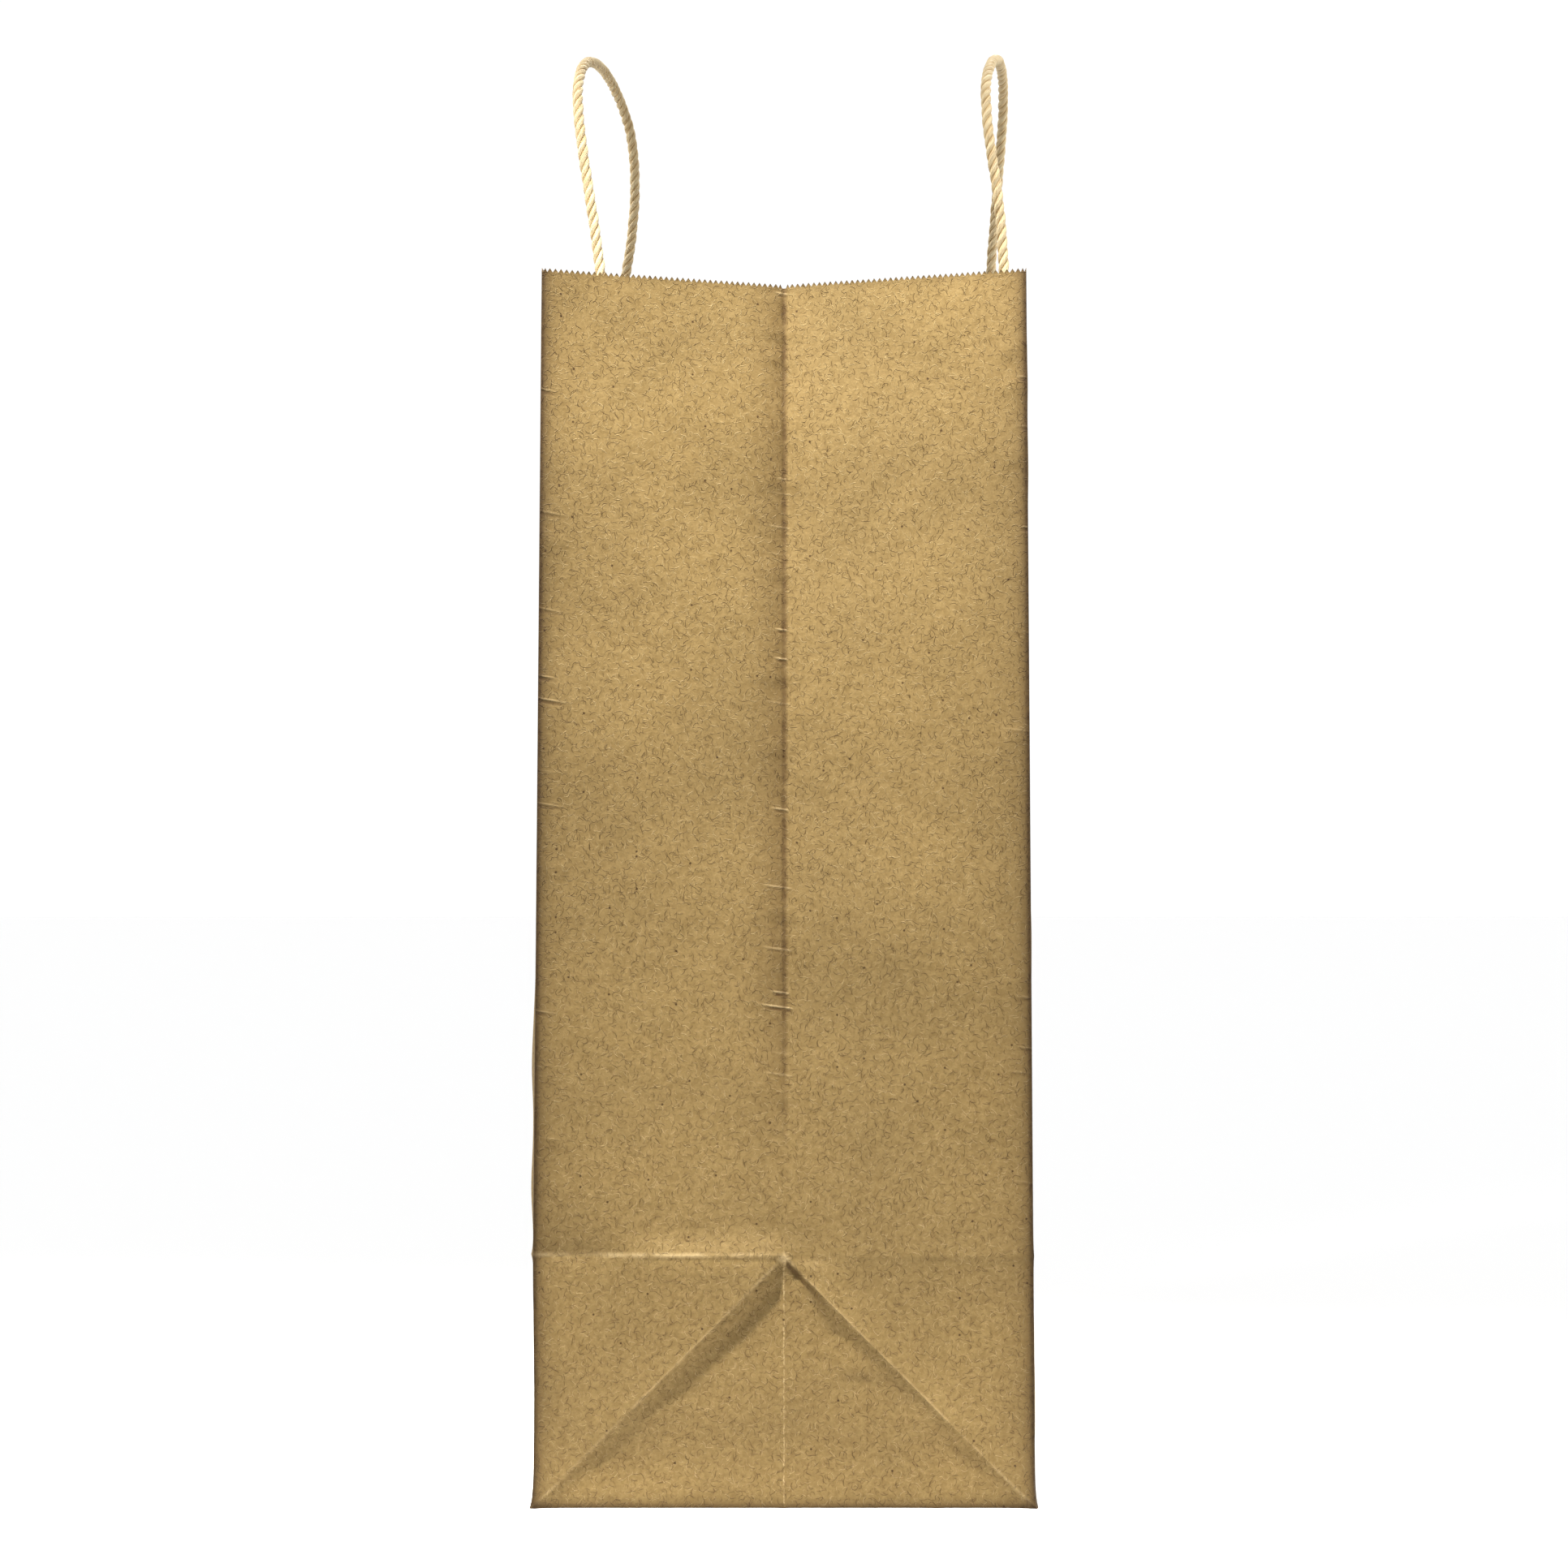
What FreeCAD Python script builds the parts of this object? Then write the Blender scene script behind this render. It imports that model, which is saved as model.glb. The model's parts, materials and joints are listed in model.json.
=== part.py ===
import FreeCAD, Part
import math
import os

import Sketcher

# A kraft paper carrier bag with a block bottom, side gussets and two twisted paper handles.
# Millimetres. +Z is up, X runs across the broad faces, Y through the gussets. The front face
# is at -Y. The origin is the middle of the underside, on the surface that the bag stands on.

Vector = FreeCAD.Vector
doc = FreeCAD.newDocument("PaperCarrierBag")

# ---------------------------------------------------------------------------
# Driving dimensions
# ---------------------------------------------------------------------------
SIZES = [
    ("BagWidth", 330.0, "broad faces, edge to edge"),
    ("GussetDepth", 176.0, "gusset at the foot, front to back"),
    ("BagHeight", 435.0, "foot to the mouth's corners"),
    ("PaperThickness", 0.16, "kraft sheet of about 125 g per square metre"),
    ("EdgeGap", 0.05, "clearance where the edge of one panel meets the next"),
    ("GussetTuck", 22.0, "how far the gusset's centre crease stands in at the mouth"),
    ("MouthDip", 3.0, "how far the mouth's edge drops at the centre crease"),
    ("FrontDraw", 14.7, "how far the front face's middle stands in from its corners"),
    ("FrontFlat", 180.0, "width of the flat middle of the front face at the mouth"),
    ("SeamWidth", 20.0, "glued lap of the long seam"),
    ("FlapOverlap", 12.0, "how far each bottom flap passes the centre line"),
    ("PatchWidth", 165.0, "handle reinforcement strips, across"),
    ("PatchHeight", 55.0, "handle reinforcement strips, up and down"),
    ("PatchDrop", 8.0, "mouth to the strips' top edge"),
    ("CordDiameter", 4.0, "twisted paper cord"),
    ("LegSpacing", 120.0, "between the axes of a handle's legs"),
    ("TailLength", 47.0, "cord held between the strips"),
    ("CordFit", 0.05, "clearance between a cord and the strip that covers it"),
    ("HingeRise", 2.5, "mouth to the line that a handle bends about"),
    ("BendGap", 5.7, "free cord that bends, between a tail's end and its swinging leg"),
]

sheet = doc.addObject("Spreadsheet::Sheet", "Sizes")
for row, (alias, value, note) in enumerate(SIZES, start=1):
    sheet.set(f"A{row}", alias)
    sheet.set(f"B{row}", str(value))
    sheet.set(f"C{row}", note)
    sheet.setAlias(f"B{row}", alias)
doc.recompute()

# Lengths that follow from the driving ones, as expressions.
HALF_WIDTH = "(Sizes.BagWidth / 2)"
HALF_DEPTH = "(Sizes.GussetDepth / 2)"
HEIGHT = "Sizes.BagHeight"
PAPER = "Sizes.PaperThickness"
GAP = "Sizes.EdgeGap"
RADIUS = "(Sizes.CordDiameter / 2)"
# The bottom folds along a line as high as the gusset is wide to its centre crease.
FOLD = HALF_DEPTH
# Each half of a gusset keeps its width, so its corner comes in as the crease is tucked.
MOUTH_HALF = f"sqrt({HALF_DEPTH}^2 - Sizes.GussetTuck^2)"
MOUTH_MIDDLE = f"({MOUTH_HALF} - Sizes.FrontDraw)"
FLAP_DEPTH = f"({HALF_DEPTH} + Sizes.FlapOverlap)"
# The back face is one plane from the foot to the mouth; this is how far in it is at the fold.
BACK_DRAW = f"({HALF_DEPTH} - {MOUTH_HALF})"
BACK_AT_FOLD = f"({HALF_DEPTH} - {BACK_DRAW} * {FOLD} / {HEIGHT})"

FRONT_LEAN = f"atan(({HALF_DEPTH} - {MOUTH_MIDDLE}) / ({HEIGHT} - {FOLD}))"
BACK_LEAN = f"atan({BACK_DRAW} / {HEIGHT})"


def size(expression):
    """The number that an expression in the sheet's sizes stands for, in mm or degrees."""
    found = sheet.evalExpression(expression)
    return float(getattr(found, "Value", found))


# ---------------------------------------------------------------------------
# Bodies, outlines and solids
# ---------------------------------------------------------------------------
def new_body(label):
    body = doc.addObject("PartDesign::Body", label)
    body.Label = label
    body.AllowCompound = True
    return body


def new_sketch(body, name, plane, offset):
    """A sketch on one of the body's own origin planes, moved along its normal by offset."""
    sketch = body.newObject("Sketcher::SketchObject", f"{body.Name}_{name}")
    origin_plane = next(f for f in body.Origin.OriginFeatures if f.Role == plane)
    sketch.AttachmentSupport = [(origin_plane, "")]
    sketch.MapMode = "FlatFace"
    sketch.setExpression("AttachmentOffset.Base.z", offset)
    return sketch


def hold(sketch, kind, geometry, point, expression):
    """Ties one coordinate of a point to an expression, measured from the sketch's origin."""
    value = size(expression)
    if expression == "0":
        axis = -2 if kind == "DistanceX" else -1
        sketch.addConstraint(Sketcher.Constraint("PointOnObject", geometry, point, axis))
        return
    index = sketch.addConstraint(Sketcher.Constraint(kind, -1, 1, geometry, point, value))
    sketch.setExpression(f"Constraints[{index}]", expression)


def draw_outline(sketch, corners, arcs=(), bulge=1):
    """A closed outline through corners, each a pair of expressions. The edges whose numbers
    are in arcs are half circles, which bulge towards bulge * up."""
    places = [Vector(size(across), size(up), 0) for across, up in corners]
    ends = []  # each edge's first and last point, as the sketch numbers them
    for number, start in enumerate(places):
        end = places[(number + 1) % len(places)]
        if number not in arcs:
            sketch.addGeometry(Part.LineSegment(start, end), False)
            ends.append((1, 2))
            continue
        crest = (start + end) * 0.5 + Vector(0, bulge * (end - start).Length / 2, 0)
        sketch.addGeometry(Part.Arc(start, crest, end), False)
        # A sketch takes every arc against the clock, so one drawn with it is reversed.
        against_clock = (end.x < start.x) == (bulge > 0)
        ends.append((1, 2) if against_clock else (2, 1))
    for number, (first, last) in enumerate(ends):
        after = (number + 1) % len(ends)
        joint = Sketcher.Constraint("Coincident", number, last, after, ends[after][0])
        sketch.addConstraint(joint)
    for number, (across, up) in enumerate(corners):
        hold(sketch, "DistanceX", number, ends[number][0], across)
        hold(sketch, "DistanceY", number, ends[number][0], up)
    for number in arcs:
        hold(sketch, "DistanceY", number, 3, corners[number][1])


def pad(body, sketch, length):
    feature = body.newObject("PartDesign::Pad", f"{body.Name}_pad")
    feature.Profile = sketch
    feature.setExpression("Length", length)
    return feature


def slab(label, plane, offset, length, corners, arcs=(), bulge=1):
    """A sheet of one thickness: an outline drawn on a plane and padded along its normal."""
    body = new_body(label)
    sketch = new_sketch(body, "outline", plane, offset)
    draw_outline(sketch, corners, arcs, bulge)
    pad(body, sketch, length)
    return body


def ruled_wall(label, foot_corners, mouth_corners):
    """A wall above the fold: straight lines from an outline there to one at the mouth."""
    body = new_body(label)
    foot = new_sketch(body, "foot", "XY_Plane", FOLD)
    draw_outline(foot, foot_corners)
    mouth = new_sketch(body, "mouth", "XY_Plane", HEIGHT)
    draw_outline(mouth, mouth_corners)
    loft = body.newObject("PartDesign::AdditiveLoft", f"{body.Name}_loft")
    loft.Profile = foot
    loft.Sections = [mouth]
    loft.Ruled = True
    return body


# ---------------------------------------------------------------------------
# Broad faces
# ---------------------------------------------------------------------------
def front_band():
    """The front face below the fold, upright."""
    corners = [
        (f"-{HALF_WIDTH}", "0"),
        (HALF_WIDTH, "0"),
        (HALF_WIDTH, FOLD),
        (f"-{HALF_WIDTH}", FOLD),
    ]
    # The XZ plane's normal is -Y, so the sheet's inner side is drawn first.
    return slab("front_base_band", "XZ_Plane", f"{HALF_DEPTH} - {PAPER}", PAPER, corners)


def strip_corners(places):
    """A strip of paper along places, pairs of expressions, with its thickness towards +Y."""
    outer = list(places)
    inner = [(across, f"{up} + {PAPER}") for across, up in reversed(places)]
    return outer + inner


def front_face():
    """The front face above the fold. Its middle leans in more than its corners."""
    half_flat = "(Sizes.FrontFlat / 2)"
    turns = [f"-{HALF_WIDTH}", f"-{half_flat}", half_flat, HALF_WIDTH]
    depths = [f"-{MOUTH_HALF}", f"-{MOUTH_MIDDLE}", f"-{MOUTH_MIDDLE}", f"-{MOUTH_HALF}"]
    foot = strip_corners([(across, f"-{HALF_DEPTH}") for across in turns])
    mouth = strip_corners(list(zip(turns, depths)))
    return ruled_wall("front_panel", foot, mouth)


def back_face():
    """The back face, one plane from the foot to the mouth."""
    corners = [
        (f"{HALF_DEPTH} - {PAPER}", "0"),
        (HALF_DEPTH, "0"),
        (MOUTH_HALF, HEIGHT),
        (f"{MOUTH_HALF} - {PAPER}", HEIGHT),
    ]
    return slab("back_panel", "YZ_Plane", f"-{HALF_WIDTH}", "Sizes.BagWidth", corners)


def seam_lap():
    """The end of the tube's sheet, glued inside the back face along its left edge."""
    start = f"3 * {PAPER} + {GAP}"
    inset = f"({PAPER} + {BACK_DRAW} * ({start}) / {HEIGHT})"
    corners = [
        (f"{HALF_DEPTH} - {inset} - {PAPER}", start),
        (f"{HALF_DEPTH} - {inset}", start),
        (f"{MOUTH_HALF} - {PAPER}", HEIGHT),
        (f"{MOUTH_HALF} - 2 * {PAPER}", HEIGHT),
    ]
    edge = f"-{HALF_WIDTH} + {PAPER} + {GAP}"
    return slab("seam_lap", "YZ_Plane", edge, "Sizes.SeamWidth", corners)


# ---------------------------------------------------------------------------
# Gussets, one on each side of the bag
# ---------------------------------------------------------------------------
FRONT_EDGE_AT_FOLD = f"-{HALF_DEPTH} + {PAPER} + {GAP}"
FRONT_EDGE_AT_MOUTH = f"-{MOUTH_HALF} + {PAPER} + {GAP}"
BACK_EDGE_AT_FOLD = f"{BACK_AT_FOLD} - {PAPER} - {GAP}"
BACK_EDGE_AT_MOUTH = f"{MOUTH_HALF} - {PAPER} - {GAP}"


def gusset_base(label, side):
    """A gusset below the fold: flat and upright."""
    corners = [
        (FRONT_EDGE_AT_FOLD, "0"),
        (f"{HALF_DEPTH} - {PAPER} - {GAP}", "0"),
        (BACK_EDGE_AT_FOLD, FOLD),
        (FRONT_EDGE_AT_FOLD, FOLD),
    ]
    inner = f"{HALF_WIDTH} - {PAPER}" if side > 0 else f"-{HALF_WIDTH}"
    return slab(label, "YZ_Plane", inner, PAPER, corners)


def gusset_half(label, side, edge_at_fold, edge_at_mouth):
    """Half a gusset above the fold, between a corner of the bag and the centre crease."""
    outer = f"{side} * {HALF_WIDTH}"
    inner = f"{side} * ({HALF_WIDTH} - {PAPER})"
    crease = f"{side} * ({HALF_WIDTH} - Sizes.GussetTuck)"
    crease_inner = f"{side} * ({HALF_WIDTH} - Sizes.GussetTuck - {PAPER})"
    foot = [
        (outer, edge_at_fold),
        (outer, "0"),
        (inner, "0"),
        (inner, edge_at_fold),
    ]
    mouth = [
        (outer, edge_at_mouth),
        (crease, "0"),
        (crease_inner, "0"),
        (inner, edge_at_mouth),
    ]
    body = ruled_wall(label, foot, mouth)
    # The mouth's edge dips towards the crease, so a wedge is cut from the top.
    wedge = new_sketch(body, "dip", "YZ_Plane", "0")
    over = f"({HEIGHT} + Sizes.MouthDip)"
    corners = [(edge_at_mouth, HEIGHT), ("0", f"{HEIGHT} - Sizes.MouthDip"), ("0", over)]
    draw_outline(wedge, corners)
    doc.recompute()
    whole = body.Shape.Volume
    cut = body.newObject("PartDesign::Pocket", f"{body.Name}_dip_cut")
    cut.Profile = wedge
    cut.Midplane = True
    cut.Type = "ThroughAll"
    doc.recompute()
    if not body.Shape.Volume < whole:
        raise RuntimeError(f"{label}: the mouth's dip cut nothing")
    return body


def gusset(name, side):
    front = (FRONT_EDGE_AT_FOLD, FRONT_EDGE_AT_MOUTH)
    rear = (BACK_EDGE_AT_FOLD, BACK_EDGE_AT_MOUTH)
    return [
        gusset_base(f"{name}_gusset_base", side),
        gusset_half(f"{name}_gusset_front_half", side, *front),
        gusset_half(f"{name}_gusset_rear_half", side, *rear),
    ]


# ---------------------------------------------------------------------------
# Block bottom: two long flaps with mitred ends, and the end flaps inside them
# ---------------------------------------------------------------------------
def long_flap(label, side, layer):
    """A long bottom flap from the wall at side * Y, mitred at 45 degrees, in its own layer."""
    wall = f"({HALF_DEPTH} - {PAPER} - {GAP})"
    long_half = f"({HALF_WIDTH} - {PAPER} - {GAP})"
    short_half = f"({long_half} - {FLAP_DEPTH})"
    corners = [
        (f"-{long_half}", f"{side} * {wall}"),
        (long_half, f"{side} * {wall}"),
        (short_half, f"-{side} * Sizes.FlapOverlap"),
        (f"-{short_half}", f"-{side} * Sizes.FlapOverlap"),
    ]
    return slab(label, "XY_Plane", f"{layer} * {PAPER}", PAPER, corners)


def end_flap(label, side):
    """The flap that folds in from a gusset, on top of the long ones."""
    wall = f"{side} * ({HALF_WIDTH} - {PAPER} - {GAP})"
    free = f"{side} * ({HALF_WIDTH} - {FLAP_DEPTH})"
    half = f"({HALF_DEPTH} - {PAPER} - {GAP})"
    corners = [
        (wall, f"-{half}"),
        (wall, half),
        (free, half),
        (free, f"-{half}"),
    ]
    return slab(label, "XY_Plane", f"2 * {PAPER}", PAPER, corners)


# ---------------------------------------------------------------------------
# Handles: two strips glued inside a broad face, with a cord's tails between them
# ---------------------------------------------------------------------------
# Each handle's parts are drawn upright at the mouth and then leaned with their face.
# inward is the sign of the way into the bag along Y.
LEG = "(Sizes.LegSpacing / 2)"
TAIL_DEPTH = f"(2 * {PAPER} + {RADIUS})"


def lean(body, inward, depth, angle):
    """Turns a body drawn at the mouth about X to lie along its face."""
    turned = FreeCAD.Rotation(Vector(1, 0, 0), -inward)
    body.Placement = FreeCAD.Placement(Vector(0, 0, 0), turned)
    body.setExpression("Placement.Base.y", f"-{inward} * {depth}")
    body.setExpression("Placement.Base.z", HEIGHT)
    body.setExpression("Placement.Rotation.Angle", f"{-inward * turned.Axis.x} * {angle}")
    return body


def patch_backing(name, inward):
    """The strip glued to the face."""
    half = "(Sizes.PatchWidth / 2)"
    corners = [
        (f"-{half}", f"{inward} * {PAPER}"),
        (half, f"{inward} * {PAPER}"),
        (half, f"{inward} * 2 * {PAPER}"),
        (f"-{half}", f"{inward} * 2 * {PAPER}"),
    ]
    foot = "-(Sizes.PatchDrop + Sizes.PatchHeight)"
    return slab(f"{name}_patch_backing", "XY_Plane", foot, "Sizes.PatchHeight", corners)


def patch_cover(name, inward):
    """The strip over the cord's tails, which stands up over each of them as a ridge."""
    half = "(Sizes.PatchWidth / 2)"
    low = f"{inward} * 2 * {PAPER}"
    high = f"{inward} * 3 * {PAPER}"
    axis = f"{inward} * {TAIL_DEPTH}"
    hollow = f"({RADIUS} + Sizes.CordFit)"
    crown = f"({hollow} + {PAPER})"
    corners = [(f"-{half}", low)]
    for leg in (f"-{LEG}", LEG):
        corners += [
            (f"{leg} - {hollow}", low),
            (f"{leg} - {hollow}", axis),
            (f"{leg} + {hollow}", axis),
            (f"{leg} + {hollow}", low),
        ]
    corners += [(half, low), (half, high)]
    for leg in (LEG, f"-{LEG}"):
        corners += [
            (f"{leg} + {crown}", high),
            (f"{leg} + {crown}", axis),
            (f"{leg} - {crown}", axis),
            (f"{leg} - {crown}", high),
        ]
    corners.append((f"-{half}", high))
    # The edges that pass over a tail: two on the strip's underside and two on its top.
    over_tails = (2, 6, 12, 16)
    foot = "-(Sizes.PatchDrop + Sizes.PatchHeight)"
    label = f"{name}_patch_cover"
    return slab(label, "XY_Plane", foot, "Sizes.PatchHeight", corners, over_tails, inward)


def handle_tails(name, inward):
    """The two ends of the cord, from inside the strips to under where it bends."""
    body = new_body(f"{name}_handle_tails")
    sketch = new_sketch(body, "ends", "XY_Plane", "-(Sizes.PatchDrop + Sizes.TailLength)")
    for number, leg in enumerate((f"-{LEG}", LEG)):
        axis = f"{inward} * {TAIL_DEPTH}"
        centre = Vector(size(leg), size(axis), 0)
        sketch.addGeometry(Part.Circle(centre, Vector(0, 0, 1), size(RADIUS)), False)
        hold(sketch, "DistanceX", number, 3, leg)
        hold(sketch, "DistanceY", number, 3, axis)
        index = sketch.addConstraint(Sketcher.Constraint("Radius", number, size(RADIUS)))
        sketch.setExpression(f"Constraints[{index}]", RADIUS)
    top = f"(Sizes.HingeRise - {RADIUS} - Sizes.BendGap)"
    pad(body, sketch, f"Sizes.PatchDrop + Sizes.TailLength + {top}")
    return body


def hinge_place(inward, depth, angle):
    """The middle of the line that a handle bends about."""
    turn = FreeCAD.Rotation(Vector(1, 0, 0), -inward * size(angle))
    offset = turn.multVec(Vector(0, inward * size(TAIL_DEPTH), size("Sizes.HingeRise")))
    return Vector(0, -inward * size(depth), size(HEIGHT)) + offset


# Each handle's route is in two halves. The points of a half are measured from the foot of its
# own leg, on the hinge line, and run up the leg and along the top.
FRONT_RIGHT_LEG = [
    (0.5, -1.8, 17.5),
    (1.0, -4.8, 37.5),
    (0.5, -8.3, 59.5),
    (-5.0, -10.3, 79.5),
    (-21.0, -8.8, 92.5),
    (-45.0, -5.8, 98.0),
]
FRONT_LEFT_LEG = [
    (-0.5, 2.7, 17.5),
    (-1.0, 6.5, 38.5),
    (-0.5, 8.2, 61.5),
    (6.0, 6.7, 81.5),
    (23.0, 1.6, 94.5),
    (48.0, -2.4, 99.0),
]
BACK_RIGHT_LEG = [
    (0.5, -0.4, 17.5),
    (1.0, -2.4, 39.5),
    (0.0, -6.1, 62.5),
    (-8.0, -6.9, 82.5),
    (-26.0, -3.9, 93.5),
    (-50.0, -0.9, 99.5),
]
BACK_LEFT_LEG = [
    (-0.5, 0.3, 20.5),
    (-1.0, 2.1, 44.5),
    (-0.8, 4.1, 67.5),
    (5.0, 5.5, 88.0),
    (21.0, 4.7, 101.0),
    (45.0, 1.9, 103.5),
]
ARC_SHARE = 0.45  # of the shorter run beside a corner, from the corner to where its arc ends


def route(hinge, right_leg, left_leg):
    right = hinge + Vector(size(LEG), 0, 0)
    left = hinge - Vector(size(LEG), 0, 0)
    up = [right] + [right + Vector(*step) for step in right_leg]
    down = [left + Vector(*step) for step in reversed(left_leg)] + [left]
    return up + down


def smooth_path(label, points):
    """Straight runs joined by tangent arcs, as a wire."""
    edges = []
    radii = []
    at = points[0]
    for before, corner, after in zip(points, points[1:], points[2:]):
        back = before - corner
        ahead = after - corner
        reach = ARC_SHARE * min(back.Length, ahead.Length)
        turn = math.pi - back.getAngle(ahead)
        radius = reach / math.tan(turn / 2)
        radii.append(radius)
        back.normalize()
        ahead.normalize()
        start = corner + back * reach
        end = corner + ahead * reach
        middle_way = (back + ahead).normalize()
        centre_distance = math.hypot(reach, radius)
        middle = corner + middle_way * (centre_distance - radius)
        edges.append(Part.LineSegment(at, start).toShape())
        edges.append(Part.Arc(start, middle, end).toShape())
        at = end
    edges.append(Part.LineSegment(at, points[-1]).toShape())
    print(label, "arc radii", [round(radius, 1) for radius in radii])
    return Part.Wire(edges)


def handle_loop(name, hinge, right_leg, left_leg):
    """The cord above the mouth, with round ends on the line that it bends about."""
    label = f"{name}_handle_loop"
    points = route(hinge, right_leg, left_leg)
    path = smooth_path(label, points)
    radius = size(RADIUS)
    ring = Part.Wire(Part.Circle(points[0], points[1] - points[0], radius).toShape())
    tube = path.makePipeShell([ring], True, False)
    expected = math.pi * radius**2 * path.Length
    print(label, "length", round(path.Length, 1), "volume share", tube.Volume / expected)
    if abs(tube.Volume / expected - 1) > 0.01:
        raise RuntimeError(f"{label}: the cord's volume is not its section times its length")
    ends = [Part.makeSphere(radius, points[0]), Part.makeSphere(radius, points[-1])]
    loop = doc.addObject("Part::Feature", label)
    loop.Label = label
    loop.Shape = tube.fuse(ends).removeSplitter()
    return loop


def handle(name, inward, depth, angle, right_leg, left_leg):
    strips = [patch_backing(name, inward), patch_cover(name, inward), handle_tails(name, inward)]
    for body in strips:
        lean(body, inward, depth, angle)
    hinge = hinge_place(inward, depth, angle)
    print(f"{name}_handle hinge at", tuple(round(c, 4) for c in hinge))
    return strips + [handle_loop(name, hinge, right_leg, left_leg)]


# ---------------------------------------------------------------------------
# The bag
# ---------------------------------------------------------------------------
pieces = [front_band(), front_face(), back_face(), seam_lap()]
pieces += gusset("right", 1)
pieces += gusset("left", -1)
pieces += [
    long_flap("bottom_rear_flap", 1, 0),
    long_flap("bottom_front_flap", -1, 1),
    end_flap("bottom_right_end_flap", 1),
    end_flap("bottom_left_end_flap", -1),
]
pieces += handle("front", 1, MOUTH_MIDDLE, FRONT_LEAN, FRONT_RIGHT_LEG, FRONT_LEFT_LEG)
pieces += handle("back", -1, MOUTH_HALF, BACK_LEAN, BACK_RIGHT_LEG, BACK_LEFT_LEG)
doc.recompute()

for item in doc.Objects:
    if "Invalid" in item.State or "Error" in item.State:
        raise RuntimeError(f"{item.Label} failed to compute: {item.State}")
for piece in pieces:
    if piece.Shape.isNull() or not piece.Shape.isValid() or not piece.Shape.Solids:
        raise RuntimeError(f"{piece.Label} has no valid solid")

os.makedirs("parts", exist_ok=True)
for piece in pieces:
    piece.Shape.exportStep(f"parts/{piece.Label}.step")
    box = piece.Shape.BoundBox
    print(
        f"{piece.Label}: {len(piece.Shape.Solids)} solid(s), {piece.Shape.Volume:.0f} mm3,"
        f" X {box.XMin:.2f}..{box.XMax:.2f}, Y {box.YMin:.2f}..{box.YMax:.2f},"
        f" Z {box.ZMin:.2f}..{box.ZMax:.2f}"
    )
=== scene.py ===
import json
import math

import bpy
import numpy as np
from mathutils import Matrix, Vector


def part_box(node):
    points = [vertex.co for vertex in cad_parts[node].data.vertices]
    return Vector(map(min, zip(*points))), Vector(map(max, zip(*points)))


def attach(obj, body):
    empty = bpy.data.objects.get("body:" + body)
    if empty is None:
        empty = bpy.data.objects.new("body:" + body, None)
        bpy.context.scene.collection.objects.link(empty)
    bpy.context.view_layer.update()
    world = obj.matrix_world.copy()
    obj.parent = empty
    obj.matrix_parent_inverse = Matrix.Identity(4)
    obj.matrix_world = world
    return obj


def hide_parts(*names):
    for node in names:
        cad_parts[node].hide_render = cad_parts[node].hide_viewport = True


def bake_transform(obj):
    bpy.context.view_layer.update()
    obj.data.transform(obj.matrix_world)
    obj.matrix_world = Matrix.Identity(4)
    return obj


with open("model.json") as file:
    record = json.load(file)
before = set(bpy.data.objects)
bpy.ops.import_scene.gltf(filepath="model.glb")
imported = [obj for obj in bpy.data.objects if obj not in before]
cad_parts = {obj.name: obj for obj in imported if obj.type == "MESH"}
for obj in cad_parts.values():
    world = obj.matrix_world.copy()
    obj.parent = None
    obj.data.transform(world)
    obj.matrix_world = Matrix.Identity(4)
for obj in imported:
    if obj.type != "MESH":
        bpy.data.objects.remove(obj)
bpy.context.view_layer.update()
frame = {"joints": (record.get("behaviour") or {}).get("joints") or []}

# A kraft paper carrier bag: one creased sheet, two twisted paper handles and the strips that
# hold them. Metres, +Z up, the front face at -Y, the gussets at +X and -X.

MM = 0.001
TINY = 1e-6  # closer than this is the same place

# ---- Sizes and places, from the frame ----
front_low, front_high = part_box("front_panel")
band_low, band_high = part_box("front_base_band")
back_low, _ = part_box("back_panel")
gusset_low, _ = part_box("right_gusset_front_half")
flap_low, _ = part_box("bottom_rear_flap")
lap_low, lap_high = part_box("seam_lap")
strip_low, strip_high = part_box("front_patch_backing")
tails_low, tails_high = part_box("front_handle_tails")
HINGES = {joint["name"]: Vector(joint["pos_m"]) for joint in frame["joints"]}

PAPER = band_high.y - band_low.y
HALF_WIDTH = front_high.x
HALF_DEPTH = -band_low.y
FOLD = front_low.z  # the crease across the foot
HEIGHT = front_high.z
MOUTH_HALF = back_low.y + PAPER  # half the depth at the mouth's corners
TUCK = HALF_WIDTH - gusset_low.x - PAPER  # how far the centre crease stands in at the mouth
FRONT_MIDDLE = -front_high.y + PAPER  # depth of the front face's middle at the mouth
FLAP_OVERLAP = -flap_low.y
FLAP_DEPTH = HALF_DEPTH + FLAP_OVERLAP
SEAM_WIDTH = lap_high.x - lap_low.x
STRIP_HALF = strip_high.x
CORD_DIAMETER = 4.0 * MM
LEG = tails_high.x - CORD_DIAMETER / 2  # from the bag's middle to a handle's leg
TAIL = HINGES["front_handle_swing"].z - tails_low.z  # from the hinge line to a tail's end

MOUTH_DIP = 3.0 * MM  # the mouth's edge drops this much at a gusset's centre crease
TOOTH_PITCH = 2.0 * MM
TOOTH_HEIGHT = 1.4 * MM
LEAST_TOOTH = 0.6  # cells narrower than this share of the pitch carry no tooth
CELL = 2.0 * MM  # grid spacing, one tooth wide, which also lands on the 45 degree creases
UPPER_ROW = 2.5 * MM
FOLD_ROUND = 0.7 * MM  # half the width of a folded corner
FLARE = 1.2 * MM  # how far the bottom corners spread at the floor
FACE_STEP = 1.0  # the faces lie this far apart on the paper's map, so no two are alike

SEED = 7


# ---- Shaping functions ----
def smooth(value):
    """0 to 1 with level ends."""
    t = np.clip(value, 0.0, 1.0)
    return t * t * (3 - 2 * t)


def near(value, target, width):
    """1 at the target, fading to each side over the width."""
    return np.exp(-np.abs(value - target) / width)


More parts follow.
